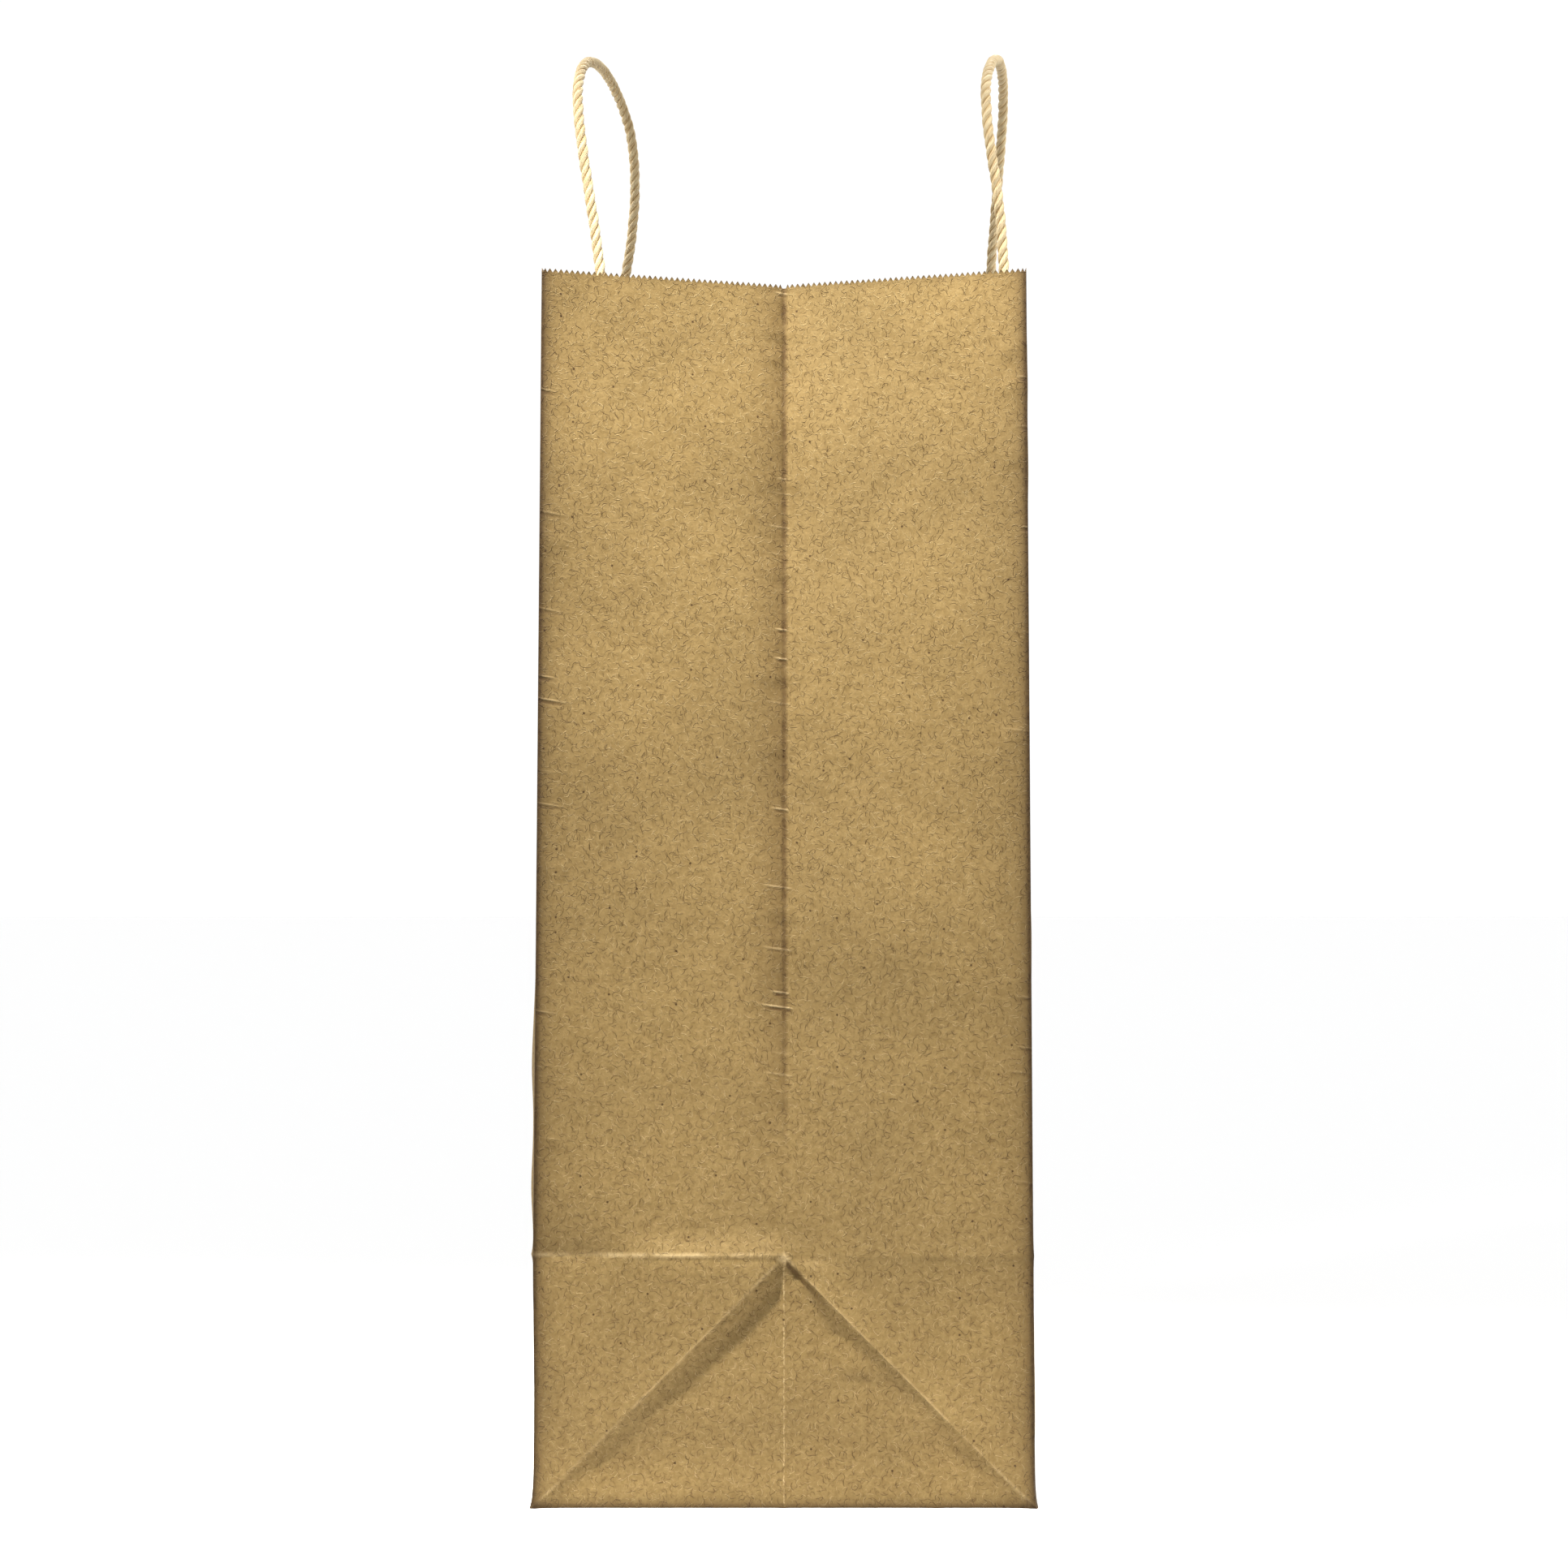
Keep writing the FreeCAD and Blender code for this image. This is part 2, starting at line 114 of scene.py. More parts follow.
def rise(z):
    """How far up from the fold line to the mouth, 0 to 1."""
    return np.clip((z - FOLD) / (HEIGHT - FOLD), 0.0, 1.0)


def swell(across, up, length, height, which, count=9):
    """Gentle waves of about one length. The same number gives the same waves every time."""
    draw = np.random.default_rng([SEED, which])
    total = np.zeros_like(across)
    for _ in range(count):
        angle, phase = draw.uniform(0, 2 * math.pi, 2)
        scale = length * draw.uniform(0.7, 1.5)
        way = across * math.cos(angle) + up * math.sin(angle)
        total += np.sin(2 * math.pi * way / scale + phase)
    return total * height / math.sqrt(count)


def crease(across, up, start, end, width, height):
    """A raised line from start to end, or a sunk one where height is below 0."""
    start = np.array(start, float)
    along = np.array(end, float) - start
    length = np.linalg.norm(along)
    along /= length
    reach = (across - start[0]) * along[0] + (up - start[1]) * along[1]
    off = np.abs((across - start[0]) * along[1] - (up - start[1]) * along[0])
    taper = smooth(reach / (0.3 * length)) * smooth((length - reach) / (0.3 * length))
    return height * taper * np.exp(-off / width)


def fold_ridge(distance, above, below, height):
    """A fold's ridge with a crisp crest. Its two flanks can be of different widths."""
    width = np.where(distance > 0, above, below)
    return height * np.exp(-np.abs(distance) / width)


def dent(across, up, centre, width, tall, height):
    """A shallow bump, or a hollow where height is below 0."""
    far = ((across - centre[0]) / width) ** 2 + ((up - centre[1]) / tall) ** 2
    return height * np.exp(-far)


def bumps(across, up, rows, base=0.0):
    """The bumps and hollows of a table, measured up from the height base."""
    total = np.zeros_like(across)
    for aside, rise_mm, width, tall, height in rows:
        place = (aside * MM, base + rise_mm * MM)
        total += dent(across, up, place, width * MM, tall * MM, height * MM)
    return total


# ---- Relief of the paper: swells, creases, dents and puckers ----
# Bumps of a gusset's foot, in mm: from the centre line, up from the floor, half width, half
# height, and how far out, or in where that is below 0.
FOOT_BUMPS = [
    (-8, 40, 30, 16, 0.7),
    (50, 29, 20, 9, 1.8),
    (28, 43, 9, 3.5, -0.7),
    (18, 61, 4.5, 2.2, -1.0),
    (-31, 40, 5, 3, -0.5),
]
# The same about the knot where the creases meet, measured up from the fold line.
KNOT_BUMPS = [
    (4, 0, 12, 12, -1.2),
    (-1.5, 1, 5, 4, 1.5),
    (4.5, -6.5, 3.2, 3.0, -2.2),
]
# Wrinkles of the foot, in mm: start and end (across, up), width and height.
FOOT_WRINKLES = [
    ((16, 50), (39, 46), 1.6, 1.0),
    ((53, -3), (55, 9), 1.3, 1.1),
]
# Heights of the small puckers across a gusset's centre crease, as shares of the wall's
# height, with how far in mm each one reaches to either side of the crease.
PUCKERS = [
    (0.958, 9.0), (0.937, 6.0), (0.832, 11.0), (0.760, 7.0),
    (0.673, 10.0), (0.614, 6.0), (0.480, 7.0), (0.330, 5.0),
]
# Small wrinkles on the gusset's corner edges: side of the gusset, and height share.
EDGE_WRINKLES = [
    (1, 0.935), (1, 0.905), (1, 0.848), (1, 0.622),
    (1, 0.423), (-1, 0.780), (-1, 0.515), (-1, 0.295),
]
FAR_PUCKERS_UP = 11 * MM  # the far gusset's puckers sit higher than the near one's,
FAR_WRINKLES_UP = -17 * MM  # and its edge wrinkles lower


def foot_relief(s, z, diagonal, along):
    """The gusset's foot: two 45 degree ridges and the slack triangle between them."""
    below = smooth((FOLD - z) / (5 * MM))
    rear = smooth(s / (10 * MM))
    by_knot = np.exp(-along / 0.25)
    steep = (3.4 - 1.2 * np.exp(-along / 0.35) * rear) * MM
    tall = (2.0 - 1.0 * by_knot + (0.3 + 2.9 * by_knot) * rear) * MM
    lift = fold_ridge(diagonal, 7 * MM, steep, 1.0) * tall * below
    inside = (1 - np.exp(np.minimum(diagonal, 0) / (5 * MM))) * smooth(z / (26 * MM))
    lift -= 1.3 * MM * inside
    lift += bumps(s, z, [(46, 34, 17, 9, -1.0)]) * inside
    lift += bumps(s, z, [(-52, 14, 20, 10, -1.8)]) * smooth(z / (9 * MM))
    lift += bumps(s, z, FOOT_BUMPS)
    lift += fold_ridge(s, 1.8 * MM, 1.8 * MM, 0.45 * MM) * below
    for start, end, width, height in FOOT_WRINKLES:
        lift += crease(s, z, np.array(start) * MM, np.array(end) * MM, width * MM, height * MM)
    return lift


def fold_relief(s, z, diagonal):
    """The crease across the foot. On the gusset's front half it is a slope above a crisp
    line by the knot, and a valley by the front corner. On the rear half it is faint."""
    front = smooth(-s / (4 * MM))
    corner = smooth((HALF_DEPTH - np.abs(s)) / (5 * MM))
    outside = 1 - smooth(-diagonal / (6 * MM))
    slope_zone = front * outside * (1 - smooth((-s - 40 * MM) / (22 * MM)))
    valley_zone = front * smooth((-s - 52 * MM) / (18 * MM)) * corner
    slope = np.clip(1 - (z - FOLD) / (8.5 * MM), 0, 1) ** 1.3
    slope *= smooth((z - 0.30 * FOLD) / (0.7 * FOLD)) ** 0.8
    lift = 3.1 * MM * slope_zone * slope
    lift -= 0.8 * MM * slope_zone * near(z, FOLD - 0.9 * MM, 1.1 * MM)
    lift -= fold_ridge(z - FOLD, 6 * MM, 5 * MM, 1.9 * MM) * valley_zone
    lift += fold_ridge(z - FOLD, 4 * MM, 2 * MM, 0.4 * MM) * (1 - front) * corner
    return lift


def pucker_relief(s, z, side):
    """Puckers across the centre crease, and wrinkles on the gusset's two corner edges."""
    lift = np.zeros_like(s)
    for share, reach_mm in PUCKERS:
        height = share * HEIGHT + (0 if side > 0 else FAR_PUCKERS_UP)
        reach = reach_mm * MM
        start = (-reach, height + 1.5 * MM)
        end = (reach * 0.9, height - 1.0 * MM)
        lift += crease(s, z, start, end, 1.8 * MM, 0.6 * MM)
        lift -= dent(s, z, (-reach * 0.3, height - 3.4 * MM), reach, 2.2 * MM, 0.35 * MM)
    for edge, share in EDGE_WRINKLES:
        height = share * HEIGHT + (0 if side > 0 else FAR_WRINKLES_UP)
        start = (edge * (HALF_DEPTH - 1 * MM), height + 2 * MM)
        end = (edge * (HALF_DEPTH - 14 * MM), height - 2 * MM)
        lift += crease(s, z, start, end, 1.6 * MM, 0.7 * MM)
    return lift


def gusset_relief(s, z, side):
    """How far a gusset's sheet stands out, over the distance s from its centre line."""
    up = rise(z)
    diagonal = (z - (FOLD - np.abs(s))) / math.sqrt(2)  # above the 45 degree creases
    along = np.clip(np.abs(s) / HALF_DEPTH, 0, 1)  # 0 at the knot, 1 at the bottom corner
    lift = foot_relief(s, z, diagonal, along)
    lift += fold_relief(s, z, diagonal)
    # The centre crease lies in a narrow valley of its own.
    lift -= fold_ridge(s, 8 * MM, 7 * MM, 1.4 * MM) * smooth((z - FOLD) / (90 * MM))
    lift += bumps(s, z, KNOT_BUMPS, FOLD)
    start, end = (1 * MM, FOLD - 6 * MM), (14 * MM, FOLD - 3 * MM)
    lift += crease(s, z, start, end, 1.2 * MM, 1.0 * MM)
    lift += pucker_relief(s, z, side)
    # Each half is slack between its creases, and bows in a little.
    lift -= 1.6 * MM * np.sin(math.pi * along) * up * (1 - 0.4 * up)
    calm = smooth((HALF_DEPTH - np.abs(s)) / (9 * MM)) * smooth(z / (12 * MM))
    lift += swell(s, z, 70 * MM, 0.45 * MM, 10 + side) * calm
    lift += swell(s, z, 22 * MM, 0.10 * MM, 20 + side) * calm
    return lift


def broad_relief(s, z, which):
    """How far a broad face's sheet stands out, over the distance s from its middle."""
    calm = smooth((HALF_WIDTH - np.abs(s)) / (18 * MM)) * smooth(z / (25 * MM))
    strip = smooth((z - (HEIGHT - 85 * MM)) / (25 * MM))
    strip = strip * smooth((STRIP_HALF + 22 * MM - np.abs(s)) / (22 * MM))
    free = 1 - strip  # the handle's strips hold the sheet flat
    lift = swell(s, z, 150 * MM, 1.1 * MM, which) * calm * (0.12 + 0.88 * free)
    lift += swell(s, z, 46 * MM, 0.24 * MM, which + 1) * calm * free
    lift += swell(s, z, 17 * MM, 0.05 * MM, which + 2) * calm * free
    # The strips and the cord's tails show through as a faint step and two ridges.
    step = 0.6 * MM
    inside = smooth((STRIP_HALF + step - np.abs(s)) / (2 * step))
    inside = inside * smooth((z - strip_low.z + step) / (2 * step))
    inside = inside * smooth((strip_high.z + step - z) / (2 * step))
    lift += 0.22 * MM * inside
    tail = np.exp(-(((np.abs(s) - LEG) / (2.6 * MM)) ** 2))
    tail = tail * smooth((z - tails_low.z) / (6 * MM))
    lift += 0.35 * MM * tail * smooth((HEIGHT + 2 * MM - z) / (5 * MM))
    return lift


# ---- The four faces of the tube ----
def flare(z):
    """The share of the bottom corners' spread left at a height."""
    return np.exp(-z / (4 * MM))


def front_wall(s, z):
    """Points of the front face, s from its middle towards +X."""
    up = rise(z)
    corner = HALF_DEPTH + (MOUTH_HALF - HALF_DEPTH) * up
    level = smooth((HALF_WIDTH - np.abs(s)) / (0.55 * HALF_WIDTH))  # 1 where the handle pulls
    draw = (MOUTH_HALF - FRONT_MIDDLE) * up * level
    inner = smooth((HALF_WIDTH - np.abs(s)) / (8 * MM))
    lift = broad_relief(s, z, 30)
    lift += fold_ridge(z - FOLD, 3 * MM, 3 * MM, 0.9 * MM) * inner
    hollow = smooth((FOLD - z) / (60 * MM)) * np.sin(math.pi * np.clip(z / FOLD, 0, 1))
    lift -= 1.2 * MM * hollow
    lift += FLARE * flare(z) * near(np.abs(s), HALF_WIDTH, 8 * MM)
    return np.stack([s, -(corner - draw) - lift, z], -1)


def back_wall(s, z):
    """Points of the back face, s from its middle towards -X."""
    depth = HALF_DEPTH + (MOUTH_HALF - HALF_DEPTH) * z / HEIGHT
    lift = broad_relief(s, z, 40)
    # The glued lap shows through as a faint step.
    lap_edge = HALF_WIDTH - SEAM_WIDTH
    lift += 0.25 * MM * smooth((s - lap_edge + 2 * MM) / (3 * MM))
    lift += fold_ridge(z - FOLD, 3 * MM, 3 * MM, 0.25 * MM)
    lift += FLARE * flare(z) * near(np.abs(s), HALF_WIDTH, 8 * MM)
    return np.stack([-s, depth + lift, z], -1)


def gusset_wall(side):
    def wall(s, z):
        """Points of a gusset, s from its centre line."""
        up = rise(z)
        toward_front = -s * side
        corner_front = HALF_DEPTH + (MOUTH_HALF - HALF_DEPTH) * up
        corner_back = HALF_DEPTH + (MOUTH_HALF - HALF_DEPTH) * z / HEIGHT
        corner = np.where(toward_front > 0, corner_front, corner_back)
        share = 1 - np.abs(s) / HALF_DEPTH
        tuck = TUCK * up * share
        y = side * s * corner / HALF_DEPTH * (1 + FLARE / HALF_DEPTH * flare(z))
        out = gusset_relief(y, z, side)
        drop = MOUTH_DIP * share * up
        return np.stack([side * (HALF_WIDTH - tuck + out), y, z - drop], -1)

    return wall


# Each face's wall, half its width, and whether it has a centre crease.
FACES = [
    (front_wall, HALF_WIDTH, False),
    (gusset_wall(1), HALF_DEPTH, True),
    (back_wall, HALF_WIDTH, False),
    (gusset_wall(-1), HALF_DEPTH, True),
]

# ---- Mesh helpers ----
def new_object(name, verts, faces, body, node_names, paper_map=None):
    """A mesh object that stands for CAD nodes, whose parts it hides, and may ride on a body."""
    mesh = bpy.data.meshes.new(name)
    mesh.from_pydata([tuple(v) for v in verts], [], faces)
    if paper_map is not None:
        layer = mesh.uv_layers.new(name="paper_map")
        layer.data.foreach_set("uv", np.asarray(paper_map, np.float32).reshape(-1))
    mesh.update()
    obj = bpy.data.objects.new(name, mesh)
    bpy.context.scene.collection.objects.link(obj)
    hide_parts(*node_names)
    if body:
        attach(obj, body)
    return obj


def finish_mesh(obj, angle):
    obj.data.shade_smooth()
    obj.data.set_sharp_from_angle(angle=math.radians(angle))


def float_attribute(obj, name, values):
    attribute = obj.data.attributes.new(name, "FLOAT", "POINT")
    attribute.data.foreach_set("value", np.asarray(values, np.float32))


def thicken(obj, thickness):
    """Gives a sheet its thickness, inwards from its outer side."""
    solid = obj.modifiers.new("thickness", "SOLIDIFY")
    solid.thickness = thickness
    solid.offset = -1.0
    solid.use_even_offset = True
    depsgraph = bpy.context.evaluated_depsgraph_get()
    mesh = bpy.data.meshes.new_from_object(obj.evaluated_get(depsgraph))
    obj.modifiers.clear()
    obj.data = mesh


def grid_faces(start, wide, tall):
    """The faces of a grid of points, numbered from start, column by column."""
    faces = []
    for i in range(wide - 1):
        for j in range(tall - 1):
            a = start + i * tall + j
            faces.append((a, a + tall, a + tall + 1, a + 1))
    return faces


def spread(low, high, step):
    """Even places from low to high, about a step apart."""
    count = max(1, round((high - low) / step))
    return np.linspace(low, high, count + 1)

# ---- The sheet ----
FLAP_COLUMNS = 60
FLAP_ROWS = 36
LAYER = 0.22 * MM  # from one bottom flap to the next


def face_columns(half, creased):
    """Distances from the middle of a face, with closer columns at its folds."""
    inner = spread(-half, half, CELL)
    near_fold = [-half + FOLD_ROUND, half - FOLD_ROUND]
    if creased:
        near_fold += [-FOLD_ROUND, FOLD_ROUND]
    return np.array(sorted(set(np.round(inner, 7)) | set(np.round(near_fold, 7))))


def wall_rows():
    """Heights of the grid's rows, closer at the folds."""
    lower = spread(0, FOLD, CELL)
    upper = spread(FOLD, HEIGHT - TOOTH_HEIGHT, UPPER_ROW)
    extra = [FOLD_ROUND, FOLD - FOLD_ROUND, FOLD + FOLD_ROUND]
    rows = set(np.round(lower, 7)) | set(np.round(upper, 7)) | set(np.round(extra, 7))
    return np.array(sorted(rows))


def edge_shade_of(s, z, half):
    """Painted shade: how darkened the paper is along its folded corners, as shade where they turn
    away, along its foot, as a contact shadow, and along its cut edge, as a dark outline.
    """
    edge_shade = 1.1 * near(np.abs(s), half, 1.5 * MM) + 0.34 * near(np.abs(s), half, 7 * MM)
    edge_shade = edge_shade + 1.1 * near(z, 0, 1.4 * MM) + 0.75 * near(z, HEIGHT, 1.0 * MM)
    return np.clip(edge_shade, 0, 1)


def wall_grid(rows):
    """Points and painted edge shade of the four faces, and the face and place of each column."""
    places, edge_shades, columns = [], [], []
    for number, (wall, half, creased) in enumerate(FACES):
        s = face_columns(half, creased)[:-1]
        grid_s, grid_z = np.meshgrid(s, rows, indexing="ij")
        places.append(wall(grid_s, grid_z))
        edge_shades.append(edge_shade_of(grid_s, grid_z, half))
        columns += [(number, value) for value in s]
    return np.concatenate(places), np.concatenate(edge_shades), columns


def round_corners(places, columns):
    """Draws each folded corner in by a hair, so that the fold is round."""
    for i, (number, s) in enumerate(columns):
        half = FACES[number][1]
        if abs(s + half) < TINY:
            before, after = places[i - 1], places[(i + 1) % len(columns)]
            places[i] = places[i] * 0.5 + (before + after) * 0.25


def wall_faces(rows, columns):
    """The faces between the grid's points, and their corners' places on the paper's map."""
    count, tall = len(columns), len(rows)
    faces, paper_map = [], []

    def add_face(*corners):
        """One face, from (grid column, row, across) corners."""
        faces.append(tuple(column % count * tall + row for column, row, _ in corners))
        paper_map.extend((across, rows[row]) for _, row, across in corners)

    for i, (number, s) in enumerate(columns):
        _, half, creased = FACES[number]
        next_number, next_s = columns[(i + 1) % count]
        here = FACE_STEP * number + s
        there = FACE_STEP * number + (next_s if next_number == number else half)
        for j in range(tall - 1):
            a, b = (i, j, here), (i + 1, j, there)
            c, d = (i + 1, j + 1, there), (i, j + 1, here)
            if not creased or rows[j] >= FOLD - TINY:
                add_face(a, b, c, d)
            elif s < -TINY:
                # A gusset's foot is split along its 45 degree creases.
                add_face(a, b, c)
                add_face(a, c, d)
            else:
                add_face(a, b, d)
                add_face(b, c, d)
    return faces, paper_map


def kraft_walls():
    """The tube of four faces with the toothed mouth: vertices, faces, painted edge shade and map.
    """
    rows = wall_rows()
    places, edge_shades, columns = wall_grid(rows)
    round_corners(places, columns)
    faces, paper_map = wall_faces(rows, columns)
    verts = list(places.reshape(-1, 3))
    edge_shade = list(edge_shades.reshape(-1))
    count, tall = places.shape[:2]
    for i, (number, s) in enumerate(columns):
        after = (i + 1) % count
        a, b = places[i, -1], places[after, -1]
        if np.linalg.norm(b - a) < LEAST_TOOTH * TOOTH_PITCH:
            continue
        faces.append((i * tall + tall - 1, after * tall + tall - 1, len(verts)))
        across = FACE_STEP * number + s
        for step, height in ((0, rows[-1]), (CELL, rows[-1]), (CELL / 2, HEIGHT)):
            paper_map.append((across + step, height))
        verts.append((a + b) / 2 + np.array([0, 0, TOOTH_HEIGHT]))
        # The tooth's tip gets the full dark painted outline.
        edge_shade.append(1.0)
    return verts, faces, edge_shade, paper_map


def flap(wall_edge, free_edge, layer):
    """A bottom flap as a grid between two edges, in its own layer over the floor."""
    (a, b), (c, d) = np.array(wall_edge), np.array(free_edge)
    across = np.linspace(0, 1, FLAP_COLUMNS)
    along = np.linspace(0, 1, FLAP_ROWS)
    u, v = np.meshgrid(across, along, indexing="ij")
    u3, v3 = u[..., None], v[..., None]
    points = (a * (1 - u3) + b * u3) * (1 - v3) + (c * (1 - u3) + d * u3) * v3
    edge = np.minimum(np.minimum(u, 1 - u), np.minimum(v, 1 - v)) * 4
    waves = swell(points[..., 0], points[..., 1], 70 * MM, 0.12 * MM, 50 + layer)
    bulge = smooth(edge) * (0.25 * MM + waves)
    points[..., 2] = layer * LAYER + np.abs(bulge) * (1 + 0.15 * layer)
    return points


def bottom_flaps():
    """Each bottom flap's edge at the wall, its free edge and its layer. The outermost long
    flap lies on the floor. All are wound so that the outer side faces down."""
    inset = 0.4 * MM
    wide, deep = HALF_WIDTH - inset, HALF_DEPTH - inset
    narrow = wide - FLAP_DEPTH
    flaps = []
    for side, layer in ((1, 0), (-1, 1)):
        wall_edge = [(-side * x, side * deep, 0.0) for x in (wide, -wide)]
        free_edge = [(-side * x, -side * FLAP_OVERLAP, 0.0) for x in (narrow, -narrow)]
        flaps.append((wall_edge, free_edge, layer))
    for side in (1, -1):
        wall_edge = [(side * wide, -side * y, 0.0) for y in (-deep, deep)]
        reach = side * (HALF_WIDTH - FLAP_DEPTH)
        free_edge = [(reach, -side * y, 0.0) for y in (-deep, deep)]
        flaps.append((wall_edge, free_edge, 2))
    return flaps


def kraft_bottom():
    """The four bottom flaps: vertices, faces, painted edge shade and map."""
    verts, faces, edge_shade, paper_map = [], [], [], []
    for number, (wall_edge, free_edge, layer) in enumerate(bottom_flaps()):
        flat = flap(wall_edge, free_edge, layer).reshape(-1, 3)
        quads = grid_faces(0, FLAP_COLUMNS, FLAP_ROWS)
        shift = (0.5 + number) * FACE_STEP
        paper_map += [(flat[v][0] + shift, flat[v][1] - 1) for quad in quads for v in quad]
        faces += [tuple(v + len(verts) for v in quad) for quad in quads]
        verts += list(flat)
        edge_shade += [0.0] * len(flat)
    return verts, faces, edge_shade, paper_map


def kraft_lap():
    """The glued lap inside the back face, along its edge at -X."""
    s = np.linspace(HALF_WIDTH - SEAM_WIDTH, HALF_WIDTH - 0.5 * MM, 12)
    z = np.linspace(0.8 * MM, HEIGHT - TOOTH_HEIGHT - 0.3 * MM, 130)
    grid_s, grid_z = np.meshgrid(s, z, indexing="ij")
    points = back_wall(grid_s, grid_z)
    points[..., 1] -= PAPER * 1.6
    faces = grid_faces(0, len(s), len(z))
    flat = points.reshape(-1, 3)
    paper_map = [(flat[v][0] + 8.5 * FACE_STEP, flat[v][2]) for quad in faces for v in quad]
    return list(flat), faces, [0.0] * len(flat), paper_map


def kraft_sheet(paper):
    """The whole sheet, as one piece: walls, bottom flaps and lap."""
    verts, faces, edge_shade, paper_map = kraft_walls()
    for more_verts, more_faces, more_edge_shade, more_map in (kraft_bottom(), kraft_lap()):
        start = len(verts)
        verts += more_verts
        faces += [tuple(v + start for v in face) for face in more_faces]
        edge_shade += more_edge_shade
        paper_map += more_map
    nodes = ["front_panel", "front_base_band", "back_panel", "seam_lap"]
    nodes += [f"bottom_{name}_flap" for name in ("rear", "front", "right_end", "left_end")]
    for side in ("right", "left"):
        nodes += [f"{side}_gusset_{part}" for part in ("base", "front_half", "rear_half")]
    sheet = new_object("kraft_sheet", verts, faces, "bag", nodes, paper_map)
    float_attribute(sheet, "edge_shade", edge_shade)
    thicken(sheet, PAPER)
    finish_mesh(sheet, 50)
    sheet.data.materials.append(paper)

# ---- Handles ----
# Each route is in two halves. The points of a half are measured, in mm, from the foot of its
# own leg, on the hinge line, and run up the leg and along the top.
FRONT_RIGHT_LEG = [
    (0.5, -1.8, 17.5), (1.0, -4.8, 37.5), (0.5, -8.3, 59.5),
    (-5.0, -10.3, 79.5), (-21.0, -8.8, 92.5), (-45.0, -5.8, 98.0),
]
FRONT_LEFT_LEG = [
    (-0.5, 2.7, 17.5), (-1.0, 6.5, 38.5), (-0.5, 8.2, 61.5),
    (6.0, 6.7, 81.5), (23.0, 1.6, 94.5), (48.0, -2.4, 99.0),
]
BACK_RIGHT_LEG = [
    (0.5, -0.4, 17.5), (1.0, -2.4, 39.5), (0.0, -6.1, 62.5),
    (-8.0, -6.9, 82.5), (-26.0, -3.9, 93.5), (-50.0, -0.9, 99.5),
]
BACK_LEFT_LEG = [
    (-0.5, 0.3, 20.5), (-1.0, 2.1, 44.5), (-0.8, 4.1, 67.5),
    (5.0, 5.5, 88.0), (21.0, 4.7, 101.0), (45.0, 1.9, 103.5),
]

PLIES = 3
PLY_SIDES = 12
PLY_RADIUS = CORD_DIAMETER / 4
PLY_OFFSET = CORD_DIAMETER / 2 - PLY_RADIUS  # from the cord's middle to a ply's
LAY = 13.0 * MM  # the cord's length in one full turn of its plies
RING_STEP = 0.45 * MM
LEANS = {
    # How each broad face leans in, as an angle from upright, towards +Y.
    "front": math.atan((HALF_DEPTH - FRONT_MIDDLE) / (HEIGHT - FOLD)),
    "back": -math.atan((HALF_DEPTH - MOUTH_HALF) / HEIGHT),
}
# Each handle's two halves, and its cord's real length.
HANDLES = {
    "front": (FRONT_RIGHT_LEG, FRONT_LEFT_LEG, 0.395),
    "back": (BACK_RIGHT_LEG, BACK_LEFT_LEG, 0.400),
}
# Columns of the strips about each tail, where they rise over the cord.
RIDGE_SIDE = [5, 4.2, 3.5, 2.9, 2.4, 1.9, 1.3, 0.7]
RIDGE_COLUMNS = [-step * MM for step in RIDGE_SIDE] + [0.0] + [step * MM for step in RIDGE_SIDE]


def cord_route(hinge, tail_end, right_leg, left_leg):
    """Control points from one tail's end, over the loop, to the other's. The tails lie
    along the face, from tail_end, which is measured from the leg's foot."""
    right = hinge + Vector((LEG, 0, 0))
    left = hinge - Vector((LEG, 0, 0))
    tail = [tail_end * share for share in (1.0, 0.75, 0.5, 0.25)]
    points = [right + step for step in tail]
    points += [right] + [right + Vector(step) * MM for step in right_leg]
    points += [left + Vector(step) * MM for step in reversed(left_leg)] + [left]
    points += [left + step for step in reversed(tail)]
    return points


def smooth_line(points):
    """The line of a NURBS curve with these control points, in even steps, and its length."""
    curve = bpy.data.curves.new("route", "CURVE")
    curve.dimensions = "3D"
    curve.resolution_u = 24
    spline = curve.splines.new("NURBS")
    spline.points.add(len(points) - 1)
    for place, point in zip(spline.points, points):
        place.co = (*point, 1)
    spline.order_u = 3
    spline.use_endpoint_u = True
    holder = bpy.data.objects.new("route", curve)
    bpy.context.scene.collection.objects.link(holder)
    line = bpy.data.meshes.new_from_object(holder)
    places = np.array([v.co for v in line.vertices])
    bpy.data.objects.remove(holder)
    steps = np.linalg.norm(np.diff(places, axis=0), axis=1)
    places = places[np.concatenate([[True], steps > 1e-7])]
    steps = np.linalg.norm(np.diff(places, axis=0), axis=1)
    travelled = np.concatenate([[0], np.cumsum(steps)])
    at = np.linspace(0, travelled[-1], round(travelled[-1] / RING_STEP) + 1)
    even = np.stack([np.interp(at, travelled, places[:, k]) for k in range(3)], -1)
    return even, travelled[-1]


def carried_frames(line):
    """A pair of cross directions at each point, carried along without twisting."""
    tangents = np.gradient(line, axis=0)
    tangents /= np.linalg.norm(tangents, axis=1)[:, None]
    side = np.cross(tangents[0], (0.0, 1.0, 0.0))
    side /= np.linalg.norm(side)
    sides = []
    for tangent in tangents:
        side = side - tangent * np.dot(side, tangent)
        side = side / np.linalg.norm(side)
        sides.append(side)
    sides = np.array(sides)
    return tangents, sides, np.cross(tangents, sides)


